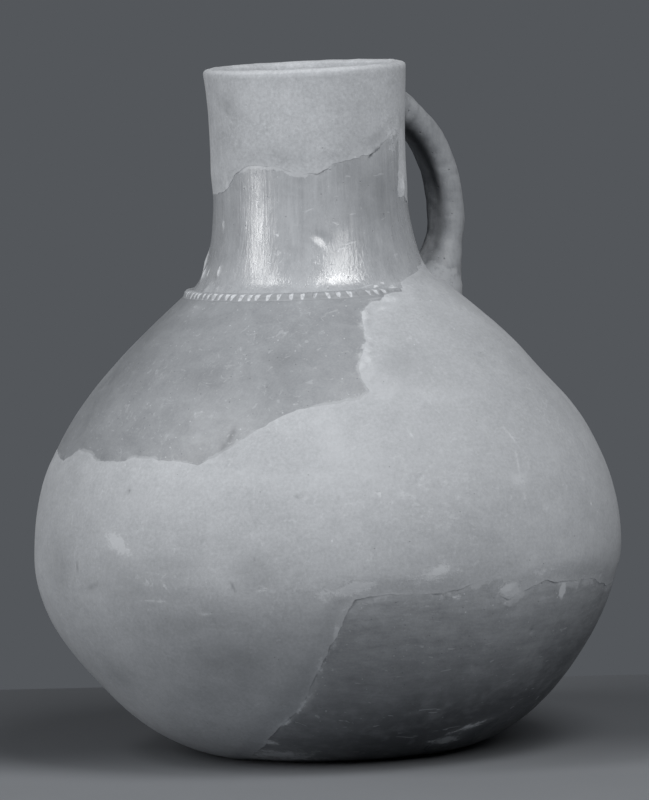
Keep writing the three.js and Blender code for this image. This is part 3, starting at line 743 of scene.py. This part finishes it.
worn = 1 - 0.8 * smooth((azimuths - 260) / 15)
back = BAND_RISE * worn[:, None] * np.cos(share * math.pi / 2)[None, :] ** 1.8
taper = 1 - 0.5 * smooth((azimuths - 262) / 12)
grid_azimuth, grid_share = np.meshgrid(azimuths, share, indexing="ij")
grid_run = RUN_AT_RING + grid_share * taper[:, None] * BAND_WIDTH / 2
swell = swell_at(on_wall(grid_azimuth.ravel(), grid_run.ravel(), 0)).reshape(grid_share.shape)
rough_back = 0.1 * np.array([[noise.noise(Vector((a * 0.9, t * 2, 3))) for t in share] for a in azimuths])
depth = inside_notch * (NOTCH_DEPTH + (PASTE_DEPTH - NOTCH_DEPTH) * kept_here[:, None])
rise = np.maximum(back + rough_back * (1 - grid_share**2) - depth, 0) + swell + 0.05
top = on_wall(grid_azimuth, grid_run, rise)
bottom = on_wall(grid_azimuth, grid_run, swell - 0.3)
points = np.concatenate([top, bottom[:, ::-1]], axis=1).reshape(-1, 3)
faces = tube_faces(len(azimuths), 2 * len(share))
paste = inside_notch * smooth((kept_here[:, None] - 0.25) / 0.4) * (0.75 + 0.5 * rough_back / 0.1)
paste = np.clip(paste, 0, 1)
values = {"paste": np.concatenate([paste, np.zeros_like(paste)], axis=1).ravel()}
cord = add_mesh("notched_cord", settle(points), faces, values)
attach(cord, "root")
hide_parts("notched_band")
print("cord faces:", len(faces))

# %% [markdown]
# The handle is a strap pulled from soft clay and pressed on at both ends. Its middle follows two curves,
# from under the rim outwards and then down to the shoulder. It spreads where thumb and water joined it to
# the wall.

# %% Path of the handle
HANDLE_WIDTH, HANDLE_THICKNESS, HANDLE_REACH = 17, 13.5, 68.2
ROOT_RADIUS, ROOT_DROP = WAIST_RADIUS - 1, 19
SHOULDER_OUT, SHOULDER_DROP, TURN_DROP, BEND_DROP = 17, 23, 41, 66
FOOT_RADIUS, FOOT_HEIGHT = 58.8, RING_HEIGHT - 5.92
LEG_START, LEG_END = 0.3, 0.65
RINGS, SIDES = 130, 48
bend = TOTAL_HEIGHT - BEND_DROP
upper = (
    (ROOT_RADIUS, TOTAL_HEIGHT - ROOT_DROP), (ROOT_RADIUS + SHOULDER_OUT, TOTAL_HEIGHT - SHOULDER_DROP),
    (HANDLE_REACH, TOTAL_HEIGHT - TURN_DROP), (HANDLE_REACH, bend),
)
lower = (
    (HANDLE_REACH, bend), (HANDLE_REACH, bend + (FOOT_HEIGHT - bend) * LEG_START),
    ((HANDLE_REACH + FOOT_RADIUS) / 2, bend + (FOOT_HEIGHT - bend) * LEG_END), (FOOT_RADIUS, FOOT_HEIGHT),
)
path = np.concatenate([bezier(upper, steps), bezier(lower, steps)[1:]])
gone = np.concatenate([[0], np.cumsum(np.linalg.norm(np.diff(path, axis=0), axis=1))])
near_root = np.linspace(0, 1, RINGS + 1) * gone[-1]
near_foot = gone[-1] - near_root
end = np.minimum(near_root, near_foot)
middle = np.stack([np.interp(near_root, gone, path[:, i]) for i in (0, 1)], 1)
forward = np.gradient(middle, axis=0)
forward /= np.linalg.norm(forward, axis=1)[:, None]
root_flare, foot_flare = 0.3 * (1 - smooth(near_root / 16)), 0.5 * (1 - smooth(near_foot / 24))
spread = 1 + root_flare + foot_flare + 0.12 * (1 - smooth(end / 7))
print("handle:", round(float(gone[-1])), "mm along its middle")

# %% [markdown]
# Its section is a slightly squared oval with soft lumps. Points that would fall inside the wall are laid on
# its surface. Two more things are stored on the points, both painted light: painted shade on the inner side,
# and a painted highlight along one edge, which shows the same pale grey as the smear of plaster around the
# foot.

# %% Handle
# Painted shade on the handle's inner side: its turn round the section in radians, and in mm along the middle
# where it narrows, fades and ends.
PAINTED_SHADE_TURN, PAINTED_SHADE_NARROWS, PAINTED_SHADE_FADES, PAINTED_SHADE_ENDS = 3.6, 15, 42, 72
# Painted highlight along one edge: its turn and width in radians, and in mm along the middle where it begins,
# ends and fades.
LIT_EDGE_TURN, LIT_EDGE_WIDTH, LIT_EDGE_FROM, LIT_EDGE_TO, LIT_EDGE_FADE = 2.86, 0.27, 40, 72, 9
FOOT_PLASTER, FOOT_PLASTER_FADE = 6, 9


def squared(value):
    return math.copysign(abs(value) ** 0.9, value)


turn = np.linspace(0, 2 * math.pi, SIDES, endpoint=False)
points = []
for i in range(RINGS + 1):
    for t in turn:
        seed = Vector((middle[i, 0] / 9, math.sin(t) * 1.1, middle[i, 1] / 9))
        lump = 0.45 * noise.noise(seed) + 0.16 * noise.noise(seed * 3.1)
        lump *= 1 + 2.2 * (1 - float(smooth(end[i] / 15)))
        out = (HANDLE_THICKNESS / 2 * spread[i] + lump) * squared(math.cos(t))
        side = (HANDLE_WIDTH / 2 * spread[i] + lump) * squared(math.sin(t))
        points.append((middle[i, 0] - forward[i, 1] * out, side, middle[i, 1] + forward[i, 0] * out))
points = np.array(points)
reach = np.hypot(points[:, 0], points[:, 1])
wall_here = np.interp(points[:, 2], outline[WALL_START:, 1], outline[WALL_START:, 0])
wall_rise = np.where(points[:, 2] > RING_HEIGHT, PLASTER_RISE, 0.3) + 0.3
points[:, :2] *= (np.maximum(reach, wall_here + wall_rise) / np.maximum(reach, 1e-6))[:, None]
# Painted shade: a dark band on the inner side, where the neck's shadow falls on the handle.
painted_shade_width = 0.52 - 0.24 * smooth((near_root - PAINTED_SHADE_NARROWS) / 35)
painted_shade_left = (1 - 0.55 * smooth((near_root - PAINTED_SHADE_FADES) / 18)) * (1 - smooth((near_root - PAINTED_SHADE_ENDS) / 24))
painted_shade = np.exp(-(((turn[None, :] - PAINTED_SHADE_TURN) / painted_shade_width[:, None]) ** 2)) * painted_shade_left[:, None]
# Painted highlight: a pale line along the edge that catches the light.
begun, over = (smooth((near_root - place) / LIT_EDGE_FADE) for place in (LIT_EDGE_FROM, LIT_EDGE_TO))
lit_edge = np.exp(-(((turn[None, :] - LIT_EDGE_TURN) / LIT_EDGE_WIDTH) ** 2)) * (begun * (1 - over))[:, None]
# First the plaster around the foot alone; the painted highlight joins it in the stored values.
plaster_and_highlight = 1 - smooth((near_foot - FOOT_PLASTER) / FOOT_PLASTER_FADE)
values = {"plaster_and_highlight": np.maximum(plaster_and_highlight[:, None], 1.1 * lit_edge).ravel(), "painted_shade": painted_shade.ravel()}
faces = tube_faces(RINGS + 1, SIDES)
handle = add_mesh("handle_surface", settle(points), faces, values)
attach(handle, "root")
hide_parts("handle")
print("handle faces:", len(faces))

# %% [markdown]
# The finishes come next. Shader maths is easier to read as plain sums, so a small class wraps a socket and
# lets Python's signs add the Math nodes. Everything else is one method that makes a node, sets it and links
# it.

# %% Shader helpers
class Socket:
    """One output of a node. The signs of arithmetic between sockets and numbers make Math nodes."""

    def __init__(self, finish, socket):
        self.finish, self.socket = finish, socket

    def maths(self, operation, *values):
        sockets = dict(enumerate(values))
        return self.finish.node("ShaderNodeMath", {"operation": operation}, sockets)

    def __add__(self, other):
        return self.maths("ADD", self, other)

    def __sub__(self, other):
        return self.maths("SUBTRACT", self, other)

    def __rsub__(self, other):
        return self.maths("SUBTRACT", other, self)

    def __mul__(self, other):
        return self.maths("MULTIPLY", self, other)

    __radd__, __rmul__ = __add__, __mul__

    def between(self, low, high, first=0.0, last=1.0):
        """A soft step: first below low, last above high."""
        settings = {"interpolation_type": "SMOOTHSTEP", "clamp": True}
        sockets = {"Value": self, "From Min": low, "From Max": high, "To Min": first, "To Max": last}
        return self.finish.node("ShaderNodeMapRange", settings, sockets)

    def largest(self, other):
        return self.maths("MAXIMUM", self, other)

    def clamped(self):
        return self.finish.node("ShaderNodeClamp", {}, {"Value": self})


# %% [markdown]
# A finish is a material that grows node by node. Its methods are the few patterns that clay and plaster
# need: a cloud, dots, numbers that are stored on the points, and greys laid over each other. Distances in
# them are in mm, and greys are screen values, so they can be read off a picture.

# %% Finishes
class Finish:
    """A material whose nodes are added one by one."""

    def __init__(self, name):
        self.material = bpy.data.materials.new(name)
        self.material.use_nodes = True
        self.tree = self.material.node_tree
        self.tree.nodes.clear()
        self.place = self.node("ShaderNodeTexCoord", {}, {}, "Object")

    def node(self, kind, settings, sockets, output=0):
        made = self.tree.nodes.new(kind)
        for key, value in settings.items():
            setattr(made, key, value)
        for key, value in sockets.items():
            if isinstance(value, Socket):
                self.tree.links.new(value.socket, made.inputs[key])
            else:
                made.inputs[key].default_value = value
        return Socket(self, made.outputs[output])

    def stored(self, name):
        return self.node("ShaderNodeAttribute", {"attribute_name": name}, {}, "Fac")

    def stretched(self, along, moved=0.0):
        """The place, squeezed along each axis by the three numbers of along."""
        settings = {"vector_type": "POINT"}
        sockets = {"Vector": self.place, "Location": (moved, moved, moved), "Scale": along}
        return self.node("ShaderNodeMapping", settings, sockets)

    def cloud(self, size, place=None, detail=4.0, rough=0.55, bend=0.0):
        """Noise from 0 to 1, its patches being about size mm across."""
        sockets = {"Vector": place or self.place, "Scale": 1000 / size, "Detail": detail}
        sockets.update({"Roughness": rough, "Distortion": bend})
        return self.node("ShaderNodeTexNoise", {}, sockets)

    def dots(self, size, apart, place=None):
        """Specks about size mm wide, one in each cell of apart mm: 1 in the middle, 0 outside."""
        sockets = {"Vector": place or self.place, "Scale": 1000 / apart, "Randomness": 1.0}
        distance = self.node("ShaderNodeTexVoronoi", {}, sockets, "Distance")
        return distance.between(0.3 * size / apart, 0.62 * size / apart, 1.0, 0.0)

    def along(self, direction):
        """How far the place lies along a level direction, in metres."""
        sockets = {0: self.place, 1: (*direction, 0)}
        return self.node("ShaderNodeVectorMath", {"operation": "DOT_PRODUCT"}, sockets, "Value")

    def mixed(self, share, first, second):
        settings = {"data_type": "RGBA"}
        return self.node("ShaderNodeMix", settings, {0: share, 6: first, 7: second}, 2)

    def toned(self, shade, tone, contrast):
        """A grey about tone, darker or lighter by contrast as shade goes from 0 to 1."""
        return self.mixed(shade.clamped(), grey(tone - contrast), grey(tone + contrast))

    def layered(self, colour, layers):
        """Lay greys over a colour, each with its share and its screen value from 0 to 255."""
        for share, level in layers:
            colour = self.mixed(share, colour, grey(level))
        return colour

    def done(self, colour, roughness, height, depth, sheen=0.5):
        """Join colour, roughness and a height in units of depth mm to the surface."""
        bump = {"Height": height, "Distance": depth * MM, "Strength": 1.0}
        sockets = {"Base Color": colour, "Roughness": roughness, "Specular IOR Level": sheen}
        sockets["Normal"] = self.node("ShaderNodeBump", {}, bump)
        shader = self.node("ShaderNodeBsdfPrincipled", {}, sockets)
        output = self.tree.nodes.new("ShaderNodeOutputMaterial")
        self.tree.links.new(shader.socket, output.inputs["Surface"])
        return self.material


def grey(level):
    """A slightly cool grey, as a screen value from 0 to 255, turned into light."""
    def light(value):
        value /= 255
        return value / 12.92 if value <= 0.04045 else ((value + 0.055) / 1.055) ** 2.4
    return (light(level - 3), light(level), light(level + 4), 1.0)


print("a mid grey of 160 is", [round(v, 3) for v in grey(160)[:3]])

# %% [markdown]
# The fired clay was rubbed with a pebble before firing. Each stroke leaves a narrow, slightly brighter and
# smoother track, so the strokes change colour, gloss and height together. On the neck they run up and down,
# and on the body around it. Fine sand in the clay shows as pale flecks and dark pits. Broken edges and the
# inside were never rubbed.

# %% Clay
ALONG_NECK = (1.0, 1.0, 0.06)
ALONG_BODY = (0.25, 0.25, 1.0)
ALONG_SHOULDER = (0.3, 0.3, 0.9)


def scuffed(f, size):
    """Short curved rubs, cut from contour lines of a soft cloud, here and there."""
    field = f.cloud(size, detail=3, bend=0.5)
    line = field.between(0.474, 0.498) * (1 - field.between(0.502, 0.526))
    broken = f.cloud(2.6, detail=4).between(0.44, 0.66)
    return line * broken * f.cloud(19, detail=2, bend=0.4).between(0.46, 0.6)


def clay(
    name, tone, contrast, gloss, strokes, stroke_share,
    fleck_share=0.5, wash=2.4, grain=0.4, scuffs=0.35, lines=0.35, sheen=0.5,
):
    """Burnished clay. Wash is the reach of a break's pale wear in mm, and lines is the strokes' depth."""
    f = Finish(name)
    patches = f.cloud(38, detail=3, bend=0.4) - 0.5
    mottle = f.cloud(8, detail=6, rough=0.65, bend=0.8) - 0.5
    sand = f.cloud(0.9, detail=2, rough=0.6) - 0.5
    wide = f.cloud(4.2, f.stretched(strokes), detail=2, bend=0.25) - 0.5
    narrow = f.cloud(1.1, f.stretched(strokes, 0.3), detail=3, rough=0.65) - 0.5
    track = (wide * 1.1 + narrow * 0.9) * stroke_share
    inner = f.stored("inner")
    edge = f.stored("edge")
    ragged = f.cloud(3.2, detail=6, rough=0.72) - 0.5
    pale_mark_and_light = (f.stored("pale") + ragged * 2.2).between(0.4, 1.0)
    dark_mark_and_shade = f.stored("dark") * f.cloud(7, detail=4).between(0.25, 0.6, 0.72, 1.0)
    shade = patches + mottle * 0.9 + sand * 0.6 + track * (1 - inner) + 0.5
    smears = f.cloud(27, f.stretched((0.7, 0.7, 1.2), 1.1), detail=6, rough=0.7, bend=0.5).between(0.55, 0.72)
    flecks = f.dots(0.42, 2.3) * f.cloud(11, detail=2).between(0.42, 0.62) * fleck_share
    grains = f.dots(0.7, 5.2, f.stretched((1, 1, 1), 0.7)) * fleck_share
    pits = f.dots(0.6, 4.1, f.stretched((1, 1, 1), 1.9))
    reach = f.cloud(21, detail=2).between(0.35, 0.7)
    worn = (edge.between(0.0, wash, 1.0, 0.0) * reach * 1.3 + ragged * 2.2).between(0.42, 0.8)
    scratches = f.cloud(2.4, f.stretched((0.2, 0.9, 1.0), 2.2), detail=1, bend=0.8).between(0.71, 0.74)
    colour = f.layered(f.toned(shade, tone, contrast), (
        (smears * 0.45, tone + 26),
        (scuffed(f, 9) * scuffs, tone + 34),
        (flecks.largest(grains), tone + 52),
        (pits * 0.6, tone - 50),
        (worn * 0.7, tone + 28),
        # Dark marks: stains, and painted shade low on the body and beside the handle.
        (dark_mark_and_shade, tone - 86),
        # Pale marks: pale spots and wear, and painted light at the foot.
        (f.stored("pale") * 0.2, tone + 42),
        (pale_mark_and_light, tone + 42),
        (scratches * 0.4, tone + 34),
    ))
    rough = gloss - track * 0.35 + mottle * 0.2 + inner * 0.3 + pale_mark_and_light * 0.25 + worn * 0.15
    height = track * lines + mottle * grain + sand * grain - pits * 0.6 - scratches * 0.2 + pale_mark_and_light * 0.8
    return f.done(colour, rough.clamped(), height, 0.12, sheen)


# %% [markdown]
# The missing parts were filled with plaster and toned to the clay, first with a wash and then with a
# sponge. It is matte and even, cloudy at a large scale, lightly speckled, with a few pinholes and the faint
# marks of the scraper.

# %% Plaster
def plaster(name, tone, contrast, speckle=0.5, scrape=(0.25, 0.25, 1.0), front_tone=None):
    """Toned plaster. With a front tone it changes over to that tone where the points say so."""
    f = Finish(name)
    patches = f.cloud(46, detail=3, bend=0.4) - 0.5
    mottle = f.cloud(9, detail=6, rough=0.65, bend=0.8) - 0.5
    sponge = f.cloud(1.3, detail=5, rough=0.75) - 0.5
    drag = f.cloud(2.6, f.stretched(scrape), detail=3, rough=0.6) - 0.5
    inner = f.stored("inner")
    edge = f.stored("edge")
    ragged = f.cloud(3.4, detail=6, rough=0.72) - 0.5
    pale_mark_and_light = (f.stored("pale") + ragged * 2.2).between(0.38, 1.0)
    dark_mark_and_shade = f.stored("dark") * f.cloud(8, detail=4).between(0.25, 0.6, 0.55, 1.0)
    shade = patches * 0.8 + mottle * 0.7 + sponge * speckle + drag * 0.35 + 0.5
    smears = f.cloud(31, f.stretched((0.7, 0.7, 1.2), 1.1), detail=6, rough=0.7, bend=0.5).between(0.54, 0.72)
    pinholes = f.dots(0.5, 7.5, f.stretched((1, 1, 1), 3.1))
    specks = f.dots(0.8, 9.0, f.stretched((1, 1, 1), 4.4)) * f.cloud(14, detail=1).between(0.45, 0.6)
    rim = (edge.between(0.0, 3.5, 0.5, 0.0) + ragged).between(0.25, 0.6)
    colour = f.toned(shade, tone, contrast)
    if front_tone:
        colour = f.mixed(f.stored("front"), colour, f.toned(shade, front_tone, contrast))
    colour = f.layered(colour, (
        (smears * 0.4, tone + 20),
        (scuffed(f, 13) * 0.4, tone + 26),
        (pinholes * 0.6, tone - 55),
        (specks * 0.7, tone + 35),
        (rim * 0.3, tone + 18),
        # Dark marks: stains, and painted shade low on the body and beside the handle.
        (dark_mark_and_shade, tone - 62),
        # Pale marks: smears of plaster, and painted light at the foot.
        (f.stored("pale") * 0.35, tone + 24),
        (pale_mark_and_light, tone + 22),
    ))
    rough = 0.74 + mottle * 0.15 - patches * 0.1 + inner * 0.1
    height = mottle * 0.7 + sponge * 0.5 + drag * 0.4 - pinholes * 1.2 + pale_mark_and_light * 0.8
    return f.done(colour, rough.clamped(), height, 0.13, 0.35)


FRONT_TONE, SIDE_TONE = 181, 180
SHOULDER = {"strokes": ALONG_SHOULDER, "stroke_share": 0.28, "fleck_share": 0.7, "scuffs": 0.6}
FINISHES = {
    "neck_rim_fill": plaster("rim_fill_plaster", 187, 24, 1.4, (1.0, 1.0, 0.3)),
    "neck_sherd": clay(
        "neck_burnished_clay", 173, 15, 0.23, ALONG_NECK, 1.0,
        fleck_share=0.3, wash=3.0, grain=0.08, scuffs=0.1, lines=1.4, sheen=0.9,
    ),
    "shoulder_sherd_front": clay("shoulder_burnished_clay", 151, 17, 0.42, **SHOULDER),
    "shoulder_sherd_back": clay("shoulder_back_clay", 150, 17, 0.43, **SHOULDER),
    "body_fill_front": plaster("front_fill_plaster", SIDE_TONE, 16, 1.5, front_tone=FRONT_TONE),
    "body_fill_right": plaster("side_fill_plaster", SIDE_TONE, 16, 1.5, front_tone=FRONT_TONE),
    "lower_sherd_front": clay(
        "lower_dark_clay", 165, 19, 0.42, ALONG_BODY, 0.9, fleck_share=0.9, wash=6.0, scuffs=0.3,
    ),
    "lower_sherd_back": clay("lower_back_clay", 128, 22, 0.44, ALONG_BODY, 0.9, fleck_share=0.45),
    "base_wedge_fill": plaster("wedge_plaster", 140, 16),
}
for name, material in FINISHES.items():
    shells[name].data.materials.append(material)
print("wall finishes:", len(FINISHES))

# %% [markdown]
# The cord and the handle are the same clay with their own wear. White paste lies in the notches, stored as
# a mask on the cord's points, and its outline is broken up by a cloud. The handle is dull and blotched,
# nearly black with painted shade on the inside, with a painted highlight along one edge, and wears a smear
# of plaster around its foot, where it was set back in place.

# %% Cord and handle finishes
PASTE_TONE, SMEAR_AND_HIGHLIGHT_TONE = 208, 168


def cord_clay(name, tone, contrast):
    f = Finish(name)
    mottle = f.cloud(5, detail=6, rough=0.65) - 0.5
    sand = f.cloud(0.8, detail=3, rough=0.7) - 0.5
    paste_here = (f.stored("paste") + (f.cloud(1.3, detail=4) - 0.5) * 0.8).between(0.22, 0.85)
    colour = f.toned(mottle * 1.3 + sand * 0.5 + 0.5, tone, contrast)
    colour = f.layered(colour, ((paste_here, PASTE_TONE),))
    height = mottle * 0.8 + sand * 0.7
    return f.done(colour, (0.55 + paste_here * 0.3 + mottle * 0.2).clamped(), height, 0.14)


def handle_clay(name, tone, contrast):
    f = Finish(name)
    patches = f.cloud(17, detail=3, bend=0.5) - 0.5
    mottle = f.cloud(4.5, detail=6, rough=0.66) - 0.5
    sand = f.cloud(0.9, detail=3, rough=0.7) - 0.5
    track = f.cloud(1.8, f.stretched((1.0, 1.0, 0.15)), detail=3) - 0.5
    pits = f.dots(0.8, 4.6)
    flecks = f.dots(0.5, 2.8, f.stretched((1, 1, 1), 1.3)) * f.cloud(8, detail=1).between(0.45, 0.6)
    plaster_and_highlight = f.stored("plaster_and_highlight") + (f.cloud(5, detail=6, rough=0.7) - 0.5) * 2.6
    smear_and_highlight = plaster_and_highlight.between(0.5, 0.95)
    shade = patches * 1.1 + mottle + sand * 0.4 + track * 0.5 + 0.5
    colour = f.layered(f.toned(shade, tone, contrast), (
        (flecks * 0.6, tone + 48),
        (pits * 0.7, tone - 55),
        # The smear of plaster around the foot, and the painted highlight along one edge.
        (smear_and_highlight * 0.85, SMEAR_AND_HIGHLIGHT_TONE),
        # Painted shade on the inner side.
        (f.stored("painted_shade") * 0.95, tone - 108),
    ))
    height = mottle + sand * 0.5 + track * 0.4 - pits * 0.9 + smear_and_highlight * 0.6
    return f.done(colour, (0.56 + mottle * 0.3 + smear_and_highlight * 0.2).clamped(), height, 0.16)


cord.data.materials.append(cord_clay("band_pasted_clay", 153, 16))
handle.data.materials.append(handle_clay("handle_mottled_clay", 148, 22))
print("materials:", len(bpy.data.materials))

# %% [markdown]
# The pot stands on a plain table whose far edge shows just behind it, before an even grey background. The
# table is drawn with four corners along the camera's own directions. Behind the pot it is painted darker
# than before it, a painted shadow that deepens the pot's own shadows there.

# %% Floor
VIEW_ANGLE = math.radians(35)
TABLE_HALF, TABLE_BEHIND, TABLE_TURN = 6.0, 0.235, 0.07
TABLE_TONES, SHADOW_TONE_BEHIND, CHANGE_FROM, CHANGE_TO = (124, 128), 102, -0.07, 0.03
to_right = np.array((math.cos(VIEW_ANGLE), -math.sin(VIEW_ANGLE)))
to_back = np.array((math.sin(VIEW_ANGLE), math.cos(VIEW_ANGLE)))
corners = [
    (*(to_right * across * TABLE_HALF + to_back * (depth - across * TABLE_TURN * TABLE_HALF)), 0)
    for across, depth in ((-1, -TABLE_HALF), (1, -TABLE_HALF), (1, TABLE_BEHIND), (-1, TABLE_BEHIND))
]
floor_mesh = bpy.data.meshes.new("floor")
floor_mesh.from_pydata(corners, [], [(0, 1, 2, 3)])
floor = bpy.data.objects.new("floor", floor_mesh)
bpy.context.collection.objects.link(floor)
paper = Finish("floor_paper")
paper_tone = paper.mixed(paper.cloud(60, detail=3), *map(grey, TABLE_TONES))
# Painted shadow: the table turns darker behind the pot.
paper_tone = paper.layered(paper_tone, ((paper.along(to_back).between(CHANGE_FROM, CHANGE_TO), SHADOW_TONE_BEHIND),))
floor_mesh.materials.append(paper.done(paper_tone, 0.85, paper.cloud(2, detail=3), 0.02, 0.2))
print("the table ends", TABLE_BEHIND, "m behind the pot's middle")

# %% [markdown]
# Two lamps on the camera's side light the pot, as the two shadows behind it show. Each is made of a small
# soft box above and a tall strip below it, which draws the long highlights on the neck. There is hardly any
# other light: the grey of the background is seen by the camera and in reflections, but doesn't light the
# pot.

# %% Lights
MIDDLE = Vector((0, 0, 0.17))
AMBIENT, BACKGROUND = 0.018, grey(87)
# Azimuth in degrees, then height, distance, width and length in metres, and power in watts
LAMPS = {
    "right_box": (268, 1.5, 0.85, 0.7, 0.4, 8.4),
    "left_box": (174, 1.35, 1.0, 0.4, 0.34, 3.8),
    "right_strip": (268, 1.02, 1.2, 0.6, 0.98, 9.9),
    "left_strip": (172.5, 0.67, 1.35, 0.46, 1.02, 9.4),
}
for name, (azimuth, height, away, wide, tall, power) in LAMPS.items():
    lamp = bpy.data.lights.new(name, "AREA")
    lamp.shape, lamp.size, lamp.size_y, lamp.energy = "RECTANGLE", wide, tall, power
    lamp_object = bpy.data.objects.new(name, lamp)
    angle = math.radians(azimuth)
    lamp_object.location = (away * math.cos(angle), away * math.sin(angle), height)
    lamp_object.rotation_euler = (MIDDLE - lamp_object.location).to_track_quat("-Z", "Y").to_euler()
    bpy.context.collection.objects.link(lamp_object)
world = bpy.data.worlds.new("studio")
bpy.context.scene.world = world
world.use_nodes = True
tree = world.node_tree
dim_sky = tree.nodes["Background"]
dim_sky.inputs["Color"].default_value = (0.94, 0.97, 1.0, 1)
dim_sky.inputs["Strength"].default_value = AMBIENT
seen_sky = tree.nodes.new("ShaderNodeBackground")
seen_sky.inputs["Color"].default_value = BACKGROUND
choice = tree.nodes.new("ShaderNodeMixShader")
ray = tree.nodes.new("ShaderNodeLightPath")
seen = ray.outputs["Is Camera Ray"]
for kind in ("Is Glossy Ray", "Is Transmission Ray"):
    either = tree.nodes.new("ShaderNodeMath")
    either.operation = "MAXIMUM"
    tree.links.new(seen, either.inputs[0])
    tree.links.new(ray.outputs[kind], either.inputs[1])
    seen = either.outputs[0]
for socket, place in ((seen, 0), (dim_sky.outputs[0], 1), (seen_sky.outputs[0], 2)):
    tree.links.new(socket, choice.inputs[place])
tree.links.new(choice.outputs[0], tree.nodes["World Output"].inputs["Surface"])
bpy.context.scene.view_settings.view_transform = "Standard"
print("lamps:", len(LAMPS), "and a dim sky")

# %% [markdown]
# The photograph was taken with a long lens from a little above the belly. The camera looks from 35 degrees
# to the left of the front, and is rolled by nearly two degrees because the picture leans.

# %% Camera
LENS, SHIFT = 330, (0.0034, 0.0091)
CAMERA_AWAY, CAMERA_HEIGHT, AIM_HEIGHT, PICTURE_ROLL = 3, 0.3758, 0.14075, -1.83
camera = bpy.data.cameras.new("camera")
camera.lens = LENS
camera.shift_x, camera.shift_y = SHIFT
camera_object = bpy.data.objects.new("camera", camera)
bpy.context.collection.objects.link(camera_object)
camera_object.location = (*(-CAMERA_AWAY * to_back), CAMERA_HEIGHT)
aim = Vector((0, 0, AIM_HEIGHT)) - camera_object.location
camera_object.rotation_euler = aim.to_track_quat("-Z", "Y").to_euler()
camera_object.rotation_euler.rotate_axis("Z", math.radians(PICTURE_ROLL))
bpy.context.scene.camera = camera_object
print("camera at", [round(v, 3) for v in camera_object.location])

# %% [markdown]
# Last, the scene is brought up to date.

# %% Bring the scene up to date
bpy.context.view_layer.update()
